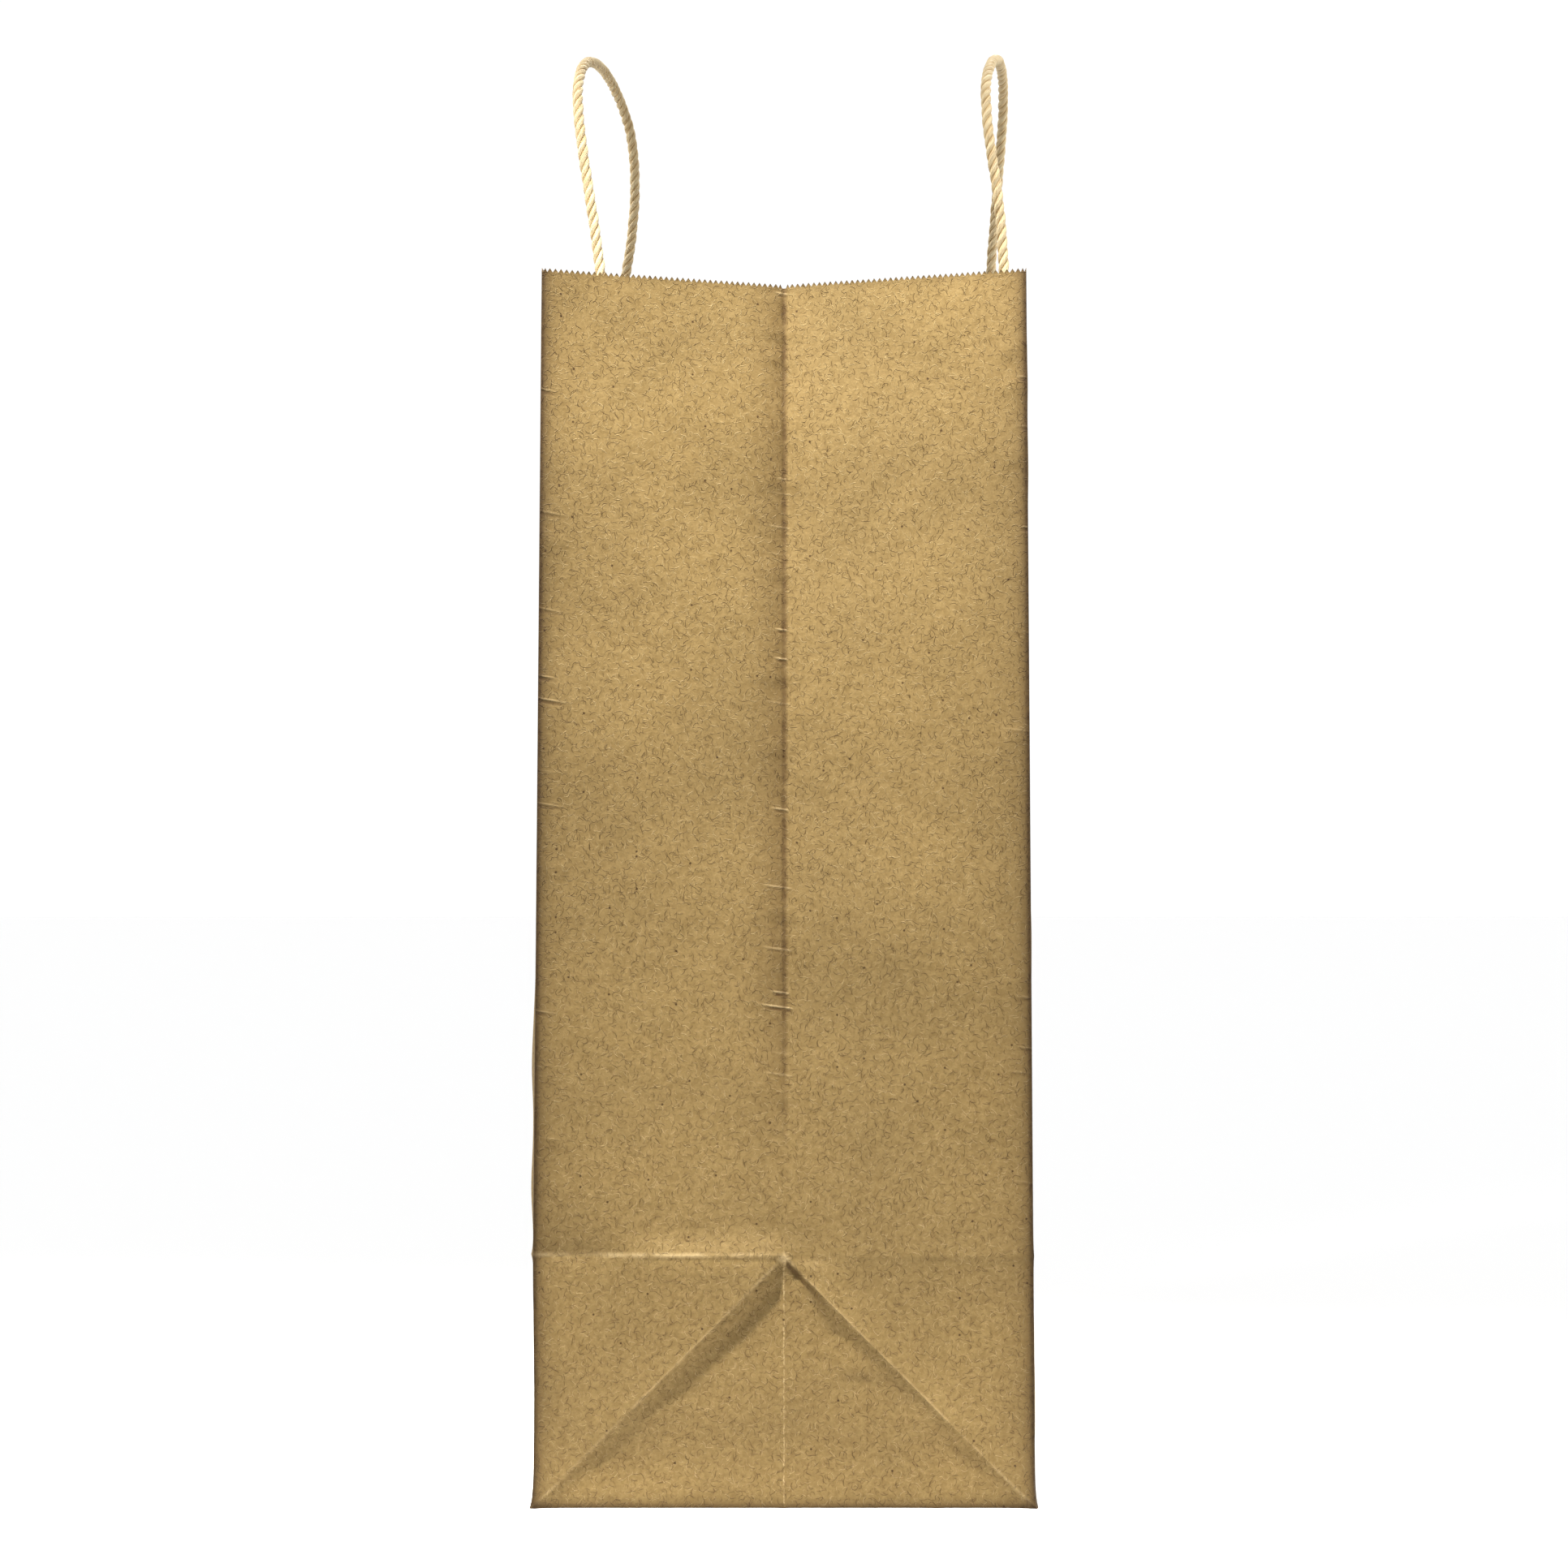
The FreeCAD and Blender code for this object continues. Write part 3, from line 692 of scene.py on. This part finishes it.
def wound_ply(ply, line, frames, travelled):
    """The rings of points of one ply, and how near each point is to the cord's outside."""
    tangents, sides, others = frames
    uneven = 0.05 * np.sin(travelled / (13 * MM) + ply * 2.1)
    uneven += 0.035 * np.sin(travelled / (4.3 * MM) + ply * 4.4)
    wander = 0.25 * np.sin(travelled / (21 * MM))
    turn = 2 * math.pi * (travelled / LAY + ply / PLIES) + wander
    out = np.cos(turn)[:, None] * sides + np.sin(turn)[:, None] * others
    way = tangents + 2 * math.pi * PLY_OFFSET / LAY * np.cross(tangents, out)
    way /= np.linalg.norm(way, axis=1)[:, None]
    across = np.cross(out, way)
    centre = line + out * PLY_OFFSET
    verts, crown = [], []
    for index in range(len(line)):
        size = PLY_RADIUS * (1 + uneven[index])
        for angle in np.linspace(0, 2 * math.pi, PLY_SIDES, endpoint=False):
            # A ply is flatter outside and fills the cord's middle.
            reach = size * (1.0 if math.cos(angle) > 0 else 1.1)
            wide = size * 1.16
            place = centre[index] + out[index] * math.cos(angle) * reach
            verts.append(place + across[index] * math.sin(angle) * wide)
            crown.append(0.5 + 0.5 * math.cos(angle))
    return verts, crown


def tube_faces(start, count):
    """The faces of a tube of count rings with a cap at each end."""
    faces = []
    for index in range(count - 1):
        for k in range(PLY_SIDES):
            a = start + index * PLY_SIDES + k
            b = start + index * PLY_SIDES + (k + 1) % PLY_SIDES
            faces.append((a, b, b + PLY_SIDES, a + PLY_SIDES))
    end = start + (count - 1) * PLY_SIDES
    faces.append(tuple(start + k for k in reversed(range(PLY_SIDES))))
    faces.append(tuple(end + k for k in range(PLY_SIDES)))
    return faces


def add_cord_map(cord, count, length):
    """UV: round a ply, and along it, both in mm."""
    layer = cord.data.uv_layers.new(name="cord_map")
    values = np.zeros((len(cord.data.loops), 2))
    vertex_of = np.array([loop.vertex_index for loop in cord.data.loops])
    per_ply = count * PLY_SIDES
    ring = (vertex_of % per_ply) // PLY_SIDES
    side = vertex_of % PLY_SIDES
    ply = vertex_of // per_ply
    round_ply = 2 * math.pi * PLY_RADIUS / MM
    values[:, 0] = side / PLY_SIDES * round_ply + ply * 11.3  # each ply has its own stretch
    values[:, 1] = ring / (count - 1) * length / MM
    layer.data.foreach_set("uv", values.reshape(-1).astype(np.float32))


def twisted_cord(side, points):
    """Plies wound right-handed about the route. Returns the piece and the cord's line."""
    line, length = smooth_line(points)
    frames = carried_frames(line)
    travelled = np.linspace(0, length, len(line))
    verts, faces, crown = [], [], []
    for ply in range(PLIES):
        ply_verts, ply_crown = wound_ply(ply, line, frames, travelled)
        faces += tube_faces(len(verts), len(line))
        verts += ply_verts
        crown += ply_crown
    nodes = [f"{side}_handle_tails", f"{side}_handle_loop"]
    cord = new_object(f"{side}_handle_cord", verts, faces, None, nodes)
    float_attribute(cord, "crown", crown)
    add_cord_map(cord, len(line), length)
    finish_mesh(cord, 75)
    return cord, line


def handle_cord(side, paper):
    """A handle's cord: its tails lie along the face, and its loop rises above them."""
    right_leg, left_leg, real_length = HANDLES[side]
    hinge = HINGES[f"{side}_handle_swing"]
    lean = LEANS[side]
    down = Vector((0, -math.sin(lean), -math.cos(lean)))
    cord, line = twisted_cord(side, cord_route(hinge, down * TAIL, right_leg, left_leg))
    cord.data.materials.append(paper)
    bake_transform(cord)
    [tuple(p) for p in line]


def ridge_profile(s):
    """How far the covering strip stands up over a tail, with a fillet at each side."""
    off = np.abs(np.abs(s) - LEG)
    radius = CORD_DIAMETER / 2 + 0.35 * MM
    crown = np.sqrt(np.clip(radius**2 - off**2, 0, None)) + CORD_DIAMETER / 2
    skirt = CORD_DIAMETER / 2 * smooth((4.4 * MM - off) / (2.3 * MM))
    return np.where(off < radius, np.maximum(crown, skirt), skirt)


def handle_strips(side, wall, inward, paper):
    """The two strips inside a broad face: one glued to it, one over the cord's tails."""
    z = spread(strip_low.z, strip_high.z, 2.2 * MM)
    plain = spread(-STRIP_HALF, STRIP_HALF, 3 * MM)
    close = [leg + step for leg in (-LEG, LEG) for step in RIDGE_COLUMNS]
    s = np.array(sorted(set(np.round(np.concatenate([plain, close]), 6))))
    grid_s, grid_z = np.meshgrid(s, z, indexing="ij")
    surface = wall(grid_s, grid_z)
    wobble = np.abs(swell(grid_s, grid_z, 22 * MM, 0.12 * MM, 60 + inward))
    depths = {
        "backing": np.full_like(grid_s, 2.0 * PAPER),
        "cover": 3.2 * PAPER + ridge_profile(grid_s) + wobble,
    }
    for number, (part, depth) in enumerate(depths.items()):
        points = surface.copy()
        points[..., 1] += inward * depth
        faces = grid_faces(0, len(s), len(z))
        flat = points.reshape(-1, 3)
        shift = (20.5 + inward + number * 4) * FACE_STEP
        paper_map = [(flat[v][0] + shift, flat[v][2]) for quad in faces for v in quad]
        name, nodes = f"{side}_strip_{part}", [f"{side}_patch_{part}"]
        strip = new_object(name, flat, faces, "bag", nodes, paper_map)
        float_attribute(strip, "edge_shade", np.zeros(len(strip.data.vertices)))
        thicken(strip, PAPER)
        finish_mesh(strip, 50)
        strip.data.materials.append(paper)

# ---- Materials ----
def srgb(r, g, b):
    """A colour from its display values, 0 to 255."""
    def linear(c):
        c /= 255
        return c / 12.92 if c <= 0.04045 else ((c + 0.055) / 1.055) ** 2.4

    return (linear(r), linear(g), linear(b), 1.0)


KRAFT_BASE, KRAFT_LIGHT, KRAFT_DARK = srgb(129, 108, 67), srgb(172, 152, 112), srgb(68, 47, 20)
STRIP_BASE, STRIP_LIGHT, STRIP_DARK = srgb(136, 117, 78), srgb(184, 164, 124), srgb(90, 68, 37)
# Pale of the crease lines: partly rubbed paper, partly painted highlight.
PALE_RUB_AND_HIGHLIGHT = srgb(214, 192, 148)
# Painted shade and shadow in the creases.
CREASE_SHADE = srgb(66, 43, 16)
# Colour of the painted shade along the corners, the painted contact shadow along the foot and the
# painted outline of the mouth's edge.
EDGE_SHADE = srgb(46, 27, 8)
SPECK_DARK = srgb(58, 36, 14)
# Painted highlight on the crowns of the plies.
PLY_HIGHLIGHT = srgb(234, 220, 184)
PLY_BODY = (srgb(204, 176, 126), srgb(226, 202, 156))
# Painted shade in the grooves between plies.
PLY_GROOVE_SHADE = srgb(110, 66, 22)
# Painted shade in the cord's fine creases.
PLY_CREASE_SHADE = srgb(128, 82, 34)

# Layers of hairs: cells in a metre, half length and half width in mm, shift of the pattern,
# and strength.
HAIRS = [
    (300, 1.50, 0.17, 0.0, 0.62),
    (400, 1.10, 0.15, 3.3, 0.55),
    (270, 1.80, 0.14, 7.1, 0.55),
    (560, 0.80, 0.13, 11.9, 0.50),
]


class Nodes:
    """Short calls for building the node tree of a material or a world."""

    def __init__(self, owner):
        owner.use_nodes = True
        self.owner = owner
        self.tree = owner.node_tree

    def feed(self, node, inputs):
        """Sets a node's inputs, each to a value or to another node's output."""
        for key, value in inputs.items():
            if isinstance(value, bpy.types.NodeSocket):
                self.tree.links.new(value, node.inputs[key])
            else:
                node.inputs[key].default_value = value

    def shade(self, **inputs):
        """Feeds the shader, with _ for each space in an input's name."""
        shader = self.tree.nodes["Principled BSDF"]
        self.feed(shader, {name.replace("_", " "): value for name, value in inputs.items()})

    def node(self, kind, inputs, **settings):
        made = self.tree.nodes.new(kind)
        for key, value in settings.items():
            setattr(made, key, value)
        self.feed(made, inputs)
        return made

    def math(self, operation, *values, clamp=False):
        inputs = dict(enumerate(values))
        return self.node("ShaderNodeMath", inputs, operation=operation, use_clamp=clamp).outputs[0]

    def times(self, a, b, clamp=False):
        return self.math("MULTIPLY", a, b, clamp=clamp)

    def plus(self, a, b):
        return self.math("ADD", a, b)

    def minus(self, a, b, clamp=False):
        return self.math("SUBTRACT", a, b, clamp=clamp)

    def most(self, a, b):
        return self.math("MAXIMUM", a, b)

    def size(self, a):
        return self.math("ABSOLUTE", a)

    def ramp(self, value, low, high, start=0.0, end=1.0, kind="LINEAR"):
        """From start to end as the value goes from low to high."""
        inputs = {"Value": value, "From Min": low, "From Max": high, "To Min": start, "To Max": end}
        return self.node("ShaderNodeMapRange", inputs, interpolation_type=kind).outputs["Result"]

    def mix(self, factor, a, b):
        inputs = {0: factor, 6: a, 7: b}
        return self.node("ShaderNodeMix", inputs, data_type="RGBA").outputs[2]

    def parts(self, vector):
        """A vector's X, Y and Z."""
        return self.node("ShaderNodeSeparateXYZ", {0: vector}).outputs

    def map(self, name):
        return self.node("ShaderNodeUVMap", {}, uv_map=name).outputs["UV"]

    def attribute(self, name):
        return self.node("ShaderNodeAttribute", {}, attribute_name=name).outputs["Fac"]

    def noise(self, vector, scale, detail=2.0, roughness=0.5, distortion=0.0):
        inputs = {"Vector": vector, "Scale": scale, "Detail": detail}
        inputs |= {"Roughness": roughness, "Distortion": distortion}
        return self.node("ShaderNodeTexNoise", inputs).outputs["Fac"]

    def stretch(self, vector, scale, turn=(0, 0, 0)):
        inputs = {"Vector": vector, "Scale": scale, "Rotation": turn}
        return self.node("ShaderNodeMapping", inputs).outputs["Vector"]

    def cells(self, source, place, scale, dimensions):
        """Scattered cells, and three numbers that differ from cell to cell."""
        inputs = {source: place, "Scale": scale}
        cells = self.node("ShaderNodeTexVoronoi", inputs, voronoi_dimensions=dimensions).outputs
        return cells, self.node("ShaderNodeSeparateColor", {0: cells["Color"]}).outputs

    def bump(self, height, strength, distance):
        inputs = {"Height": height, "Strength": strength, "Distance": distance}
        return self.node("ShaderNodeBump", inputs).outputs["Normal"]


def hairs(n, vector, scale, half_length, half_width, shift):
    """Short curled hairs of pulp, one to a cell. Returns where they are, and a number that
    differs from hair to hair."""
    inputs = {0: vector, 1: (shift, shift * 1.7, 0)}
    moved = n.node("ShaderNodeVectorMath", inputs, operation="ADD").outputs[0]
    cells, chance = n.cells("Vector", moved, scale, "2D")
    inputs = {0: moved, 1: cells["Position"]}
    local = n.node("ShaderNodeVectorMath", inputs, operation="SUBTRACT").outputs[0]
    inputs = {"Vector": local, "Angle": n.times(chance[0], 2 * math.pi)}
    turned = n.node("ShaderNodeVectorRotate", inputs, rotation_type="Z_AXIS").outputs[0]
    x, y, _ = n.parts(turned)
    curl = n.times(n.minus(chance[1], 0.5), 2.4 / half_length)
    bent = n.minus(y, n.times(n.times(x, x), curl))
    line = n.ramp(n.size(bent), half_width, half_width * 0.25)
    ends = n.ramp(n.size(x), half_length, half_length * 0.6)
    hair = n.times(line, ends, clamp=True)
    return n.times(hair, n.ramp(chance[2], 0.25, 0.45), clamp=True), chance[2]


def paper_specks(n, uv):
    """Rare dark specks of bark in the pulp."""
    cells, chance = n.cells("Vector", uv, 210, "2D")
    rare = n.math("GREATER_THAN", chance[0], 0.965)
    return n.times(n.ramp(cells["Distance"], 0.11, 0.05), rare, clamp=True)


def crease_ticks(n, distance, up, spacing, longest):
    """Short painted puckers across a crease. Returns a painted highlight on their crests and a
    painted shadow in the hollow under each.
    """
    cells, chance = n.cells("W", up, 1 / spacing, "1D")
    above = n.minus(up, cells["W"])
    reach = n.plus(n.times(chance[0], longest * 0.8), longest * 0.2)
    share = n.minus(1.0, n.math("DIVIDE", distance, reach), clamp=True)
    present = n.times(n.ramp(chance[1], 0.35, 0.75), n.ramp(share, 0.0, 0.6))
    crest = n.ramp(n.size(above), 0.55 * MM, 0.1 * MM)
    hollow = n.ramp(n.size(n.plus(above, 1.0 * MM)), 1.0 * MM, 0.2 * MM)
    return n.times(crest, present), n.times(hollow, present)


def foot_lines(n, uv, aside, off, up, ragged):
    """The pale lines of a gusset's foot: its rubbed centre line, its ridges and front fold, pale
    partly from rubbing and partly as painted highlight, and a painted highlight on its knot.
    """
    broken = n.ramp(n.noise(uv, 140, detail=2.0), 0.38, 0.60)
    broken = n.plus(n.times(broken, 0.8), 0.2)
    from_fold = n.minus(up, FOLD)
    diagonal = n.plus(n.plus(from_fold, off), ragged)
    # Pale line on each ridge: partly rubbed paper, partly painted highlight.
    ridge = n.ramp(n.size(diagonal), 1.3 * MM, 0.1 * MM)
    middle = n.size(n.plus(aside, n.times(ragged, 0.5)))
    dashes = n.ramp(n.noise(uv, 620, detail=1.0), 0.40, 0.58)
    centre = n.times(n.ramp(middle, 0.42 * MM, 0.1 * MM), dashes)
    below = n.ramp(up, FOLD + 2 * MM, FOLD - 2 * MM)
    pale = n.most(n.times(ridge, 0.4), centre)
    pale = n.times(n.times(pale, below), broken)
    # A painted highlight on the knot.
    to_knot = n.plus(n.size(n.plus(from_fold, 1 * MM)), off)
    pale = n.most(pale, n.ramp(to_knot, 3.2 * MM, 1.0 * MM))
    # A pale line on the front fold's crest: partly rubbed paper, partly painted highlight.
    to_fold = n.plus(n.minus(from_fold, 0.4 * MM), ragged)
    fold = n.ramp(n.size(to_fold), 1.3 * MM, 0.2 * MM)
    fold = n.times(fold, n.math("LESS_THAN", aside, 0.0))
    fold = n.times(fold, n.times(broken, 0.7))
    return n.most(pale, fold), broken, middle


def valley_shade(n, aside, off, middle, broken):
    """The painted shade of the centre crease above the foot, with a soft band of painted shade on
    its front side.
    """
    shade_breakup = n.plus(n.times(broken, 0.5), 0.5)
    narrow = n.times(n.ramp(middle, 1.7 * MM, 0.3 * MM), shade_breakup)
    one_side = n.times(n.math("LESS_THAN", aside, 0.3 * MM), 0.8)
    fade = n.math("POWER", n.ramp(off, 17 * MM, 0.0), 1.6)
    wide = n.times(fade, n.plus(one_side, 0.1))
    return n.most(narrow, n.times(wide, 0.5))


def knot_shadow(n, aside, off, up):
    """A painted shadow in the little pocket under the rear diagonal, right by the knot."""
    diagonal = n.plus(n.minus(up, FOLD), off)
    under = n.size(n.plus(diagonal, 2.0 * MM))
    painted_shadow = n.times(n.ramp(under, 2.0 * MM, 0.6 * MM), n.ramp(off, 17 * MM, 3 * MM))
    painted_shadow = n.times(painted_shadow, n.math("GREATER_THAN", aside, 0.8 * MM))
    return n.times(painted_shadow, 0.9)


def crease_lines(n, uv, relief):
    """Lines along a gusset's folds. The ridges of its foot are pale, partly rubbed and partly
    painted highlight, and the valley above them has painted shade. Returns the pale lines and the
    dark ones, which are painted shade and shadow."""
    across, up, _ = n.parts(uv)
    face = n.math("ROUND", across)
    aside = n.minus(across, face)
    off = n.size(aside)
    gusset = n.times(n.math("PINGPONG", face, 1.0), n.math("LESS_THAN", face, 3.5))
    ragged = n.times(n.minus(relief, 0.5), 1.3 * MM)
    pale, broken, middle = foot_lines(n, uv, aside, off, up, ragged)
    above_foot = n.ramp(up, FOLD + 25 * MM, FOLD + 90 * MM)
    dark = n.times(valley_shade(n, aside, off, middle, broken), above_foot)
    dark = n.most(dark, knot_shadow(n, aside, off, up))
    # Painted puckers reach further over the gusset's front half than over its rear half: a painted
    # highlight on each crest, a painted shadow in each hollow.
    slant = n.plus(up, n.times(aside, 0.14))
    to_front = n.times(aside, -1.0)
    lopsided = n.most(to_front, n.times(aside, 2.6))
    crest_highlights, hollow_shadows = crease_ticks(n, lopsided, slant, 11 * MM, 10 * MM)
    pale = n.most(pale, n.times(crest_highlights, above_foot))
    dark = n.most(dark, n.times(hollow_shadows, above_foot))
    # The corner edges have their own painted puckers, unlike on the two sides, and more of them
    # higher up.
    to_corner = n.minus(HALF_DEPTH, off)
    shifted = n.plus(slant, n.times(n.math("GREATER_THAN", aside, 0.0), 5.0))
    crest_highlights, hollow_shadows = crease_ticks(n, to_corner, shifted, 17 * MM, 13 * MM)
    high = n.ramp(up, 0.15 * HEIGHT, 0.5 * HEIGHT)
    pale = n.most(pale, n.times(crest_highlights, n.times(high, 0.55)))
    dark = n.most(dark, n.times(hollow_shadows, n.times(high, 0.7)))
    pale = n.times(pale, gusset, clamp=True)
    return pale, n.times(dark, gusset, clamp=True)


def kraft_material(name, base, light, dark, with_creases):
    """Kraft paper: mottled pulp with pale and dark hairs, specks, painted shade along its edges,
    and creases with pale lines, partly rubbed and partly painted highlight, and painted shade.
    """
    n = Nodes(bpy.data.materials.new(name))
    uv = n.map("paper_map")
    clouds = n.noise(uv, 15, detail=3.0, roughness=0.55)
    mottle = n.noise(uv, 420, detail=3.0, roughness=0.6, distortion=0.6)
    grain = n.noise(uv, 1300, detail=2.0, roughness=0.7)
    colour = n.mix(0.16, base, n.mix(n.ramp(mottle, 0.32, 0.68), dark, light))
    relief = n.times(grain, 0.35)
    for scale, half_length, half_width, shift, strength in HAIRS:
        where, chance = hairs(n, uv, scale, half_length * MM, half_width * MM, shift)
        tint = n.mix(n.math("GREATER_THAN", chance, 0.58), light, dark)
        colour = n.mix(n.times(where, strength), colour, tint)
        relief = n.plus(relief, n.times(where, 0.5))
    colour = n.mix(n.times(paper_specks(n, uv), 0.85), colour, SPECK_DARK)
    if with_creases:
        pale, deep = crease_lines(n, uv, mottle)
        # Pale crease lines are partly rubbed paper and partly painted highlight; the dark ones are
        # painted shade and shadow.
        colour = n.mix(n.times(pale, 0.5), colour, PALE_RUB_AND_HIGHLIGHT)
        colour = n.mix(n.times(deep, 0.72), colour, CREASE_SHADE)
        embossed = n.times(n.minus(pale, deep), 0.9)
        relief = n.plus(relief, embossed)
    # Painted shade along the folded corners, a painted contact shadow along the foot and a dark
    # painted outline on the mouth's edge.
    edge_shade_amount = n.times(n.attribute("edge_shade"), n.plus(n.times(mottle, 0.6), 0.55), clamp=True)
    colour = n.mix(n.times(edge_shade_amount, 0.95), colour, EDGE_SHADE)
    cloudy = n.plus(n.times(n.ramp(clouds, 0.30, 0.70), 0.15), 0.92)
    grained = n.plus(n.times(n.ramp(grain, 0.28, 0.72), 0.22), 0.89)
    inputs = {0: colour, "Scale": n.times(cloudy, grained)}
    shaded = n.node("ShaderNodeVectorMath", inputs, operation="SCALE").outputs[0]
    n.shade(
        Base_Color=shaded,
        Roughness=n.plus(n.times(mottle, 0.25), 0.60),
        Normal=n.bump(n.plus(relief, n.times(mottle, 0.7)), 0.7, 0.3 * MM),
        Specular_IOR_Level=0.25,
    )
    return n.owner


def cord_material(name):
    """Creased paper, drawn out along each ply: painted shade in its fine creases and in the valleys
    between plies, and a painted highlight on the crowns.
    """
    n = Nodes(bpy.data.materials.new(name))
    uv = n.map("cord_map")
    folds = n.noise(n.stretch(uv, (1.9, 0.16, 1), (0, 0, 0.10)), 1.0, detail=4.0, roughness=0.6)
    fine = n.noise(n.stretch(uv, (4.5, 0.30, 1), (0, 0, 0.14)), 1.0, detail=3.0)
    blotch = n.noise(n.stretch(uv, (0.13, 0.13, 1)), 1.0, detail=3.0, roughness=0.6)
    crown = n.attribute("crown")
    body = n.mix(n.ramp(blotch, 0.3, 0.7), *PLY_BODY)
    # A painted highlight on the crowns of the plies.
    pale = n.times(n.ramp(crown, 0.55, 0.95), n.ramp(folds, 0.30, 0.60), clamp=True)
    colour = n.mix(n.times(pale, 0.85), body, PLY_HIGHLIGHT)
    # Painted shade in the grooves between plies.
    colour = n.mix(n.times(n.ramp(crown, 0.64, 0.25), 0.9), colour, PLY_GROOVE_SHADE)
    # Painted shade in the paper's fine creases.
    colour = n.mix(n.times(n.ramp(fine, 0.47, 0.36), 0.55), colour, PLY_CREASE_SHADE)
    n.shade(
        Base_Color=colour,
        Roughness=n.plus(n.times(folds, 0.3), 0.36),
        Normal=n.bump(n.plus(folds, n.times(fine, 0.5)), 0.6, 0.4 * MM),
        Specular_IOR_Level=0.4,
    )
    return n.owner


# ---- Floor, light and camera ----
FLOOR_HALF = 12.0
# The backdrop is white, the ceiling is bright, and the side the camera stands on is dim.
FAR_SIDE = 1.03
NEAR_SIDE = 0.10
CEILING = 1.06
KEY_WATTS = 128
HANDLE_WATTS = 10
SIDE_WATTS = 34
CAMERA_BACK = 1.5  # from the near gusset to the camera
CAMERA_HEIGHT = 0.2324
CAMERA_PITCH = math.radians(0.805)
CAMERA_LENS = 98.15
GAMMA = 0.86


def link(name, data):
    holder = bpy.data.objects.new(name, data)
    bpy.context.scene.collection.objects.link(holder)
    return holder


def white_floor():
    """A plain white floor that runs out of sight."""
    mesh = bpy.data.meshes.new("floor")
    corners = [(x * FLOOR_HALF, y * FLOOR_HALF, 0) for x, y in ((-1, -1), (1, -1), (1, 1), (-1, 1))]
    mesh.from_pydata(corners, [], [(0, 1, 2, 3)])
    white = Nodes(bpy.data.materials.new("floor_white"))
    white.shade(Base_Color=(0.93, 0.93, 0.93, 1), Roughness=0.9)
    mesh.materials.append(white.owner)
    link("floor", mesh)


def studio_world():
    """A soft white studio whose light depends on the direction it comes from."""
    world = bpy.data.worlds.new("studio")
    bpy.context.scene.world = world
    n = Nodes(world)
    along, _, up = n.parts(n.node("ShaderNodeTexCoord", {}).outputs["Generated"])
    around = n.ramp(along, -0.5, 0.4, FAR_SIDE, NEAR_SIDE, "SMOOTHSTEP")
    above = n.ramp(up, 0.45, 0.95, 0.0, CEILING, "SMOOTHSTEP")
    light = {"Color": (1, 1, 1, 1), "Strength": n.plus(around, above)}
    n.feed(n.tree.nodes["Background"], light)


def spotlight(name, place, target, radius, cone, watts):
    """A soft-edged spot, aimed from its place at a target."""
    light = bpy.data.lights.new(name, "SPOT")
    light.shadow_soft_size = radius
    light.spot_size = math.radians(cone)
    light.spot_blend = 0.7
    light.energy = watts
    holder = link(name, light)
    holder.location = place
    aim = Vector(target) - Vector(place)
    holder.rotation_euler = aim.to_track_quat("-Z", "Y").to_euler()


def studio_lights():
    """A key that grazes the near gusset from above, one for the handles, one a side."""
    gusset = (HALF_WIDTH, 0, 0.27)
    spotlight("key", (0.58, -0.20, 1.16), gusset, 0.04, 31, KEY_WATTS)
    spotlight("handle_light", (0.85, -0.75, 0.95), (0, 0, 0.50), 0.05, 24, HANDLE_WATTS)
    for name, place, face in (
        ("front_light", (-0.25, -1.02, 1.16), (0, -HALF_DEPTH, 0.25)),
        ("back_light", (0.25, 1.02, 1.16), (0, HALF_DEPTH, 0.25)),
        ("left_light", (-0.80, 0.25, 1.16), (-HALF_WIDTH, 0, 0.25)),
    ):
        spotlight(name, place, face, 0.12, 36, SIDE_WATTS)


def photo_camera():
    """The camera looks square on at the near gusset, from just above its middle."""
    data = bpy.data.cameras.new("camera")
    data.sensor_width = 36
    data.lens = CAMERA_LENS
    data.clip_end = 50
    camera = link("camera", data)
    camera.location = (HALF_WIDTH + CAMERA_BACK, 0, CAMERA_HEIGHT)
    camera.rotation_euler = (math.pi / 2 + CAMERA_PITCH, 0, math.pi / 2)
    bpy.context.scene.camera = camera
    view = bpy.context.scene.view_settings
    view.view_transform = "Standard"
    view.gamma = GAMMA


# ---- The bag in its studio ----
kraft = kraft_material("kraft_paper", KRAFT_BASE, KRAFT_LIGHT, KRAFT_DARK, True)
strip_kraft = kraft_material("patch_paper", STRIP_BASE, STRIP_LIGHT, STRIP_DARK, False)
cord_paper = cord_material("handle_cord")

kraft_sheet(kraft)
handle_strips("front", front_wall, 1, strip_kraft)
handle_strips("back", back_wall, -1, strip_kraft)
handle_cord("front", cord_paper)
handle_cord("back", cord_paper)

white_floor()
studio_world()
studio_lights()
photo_camera()
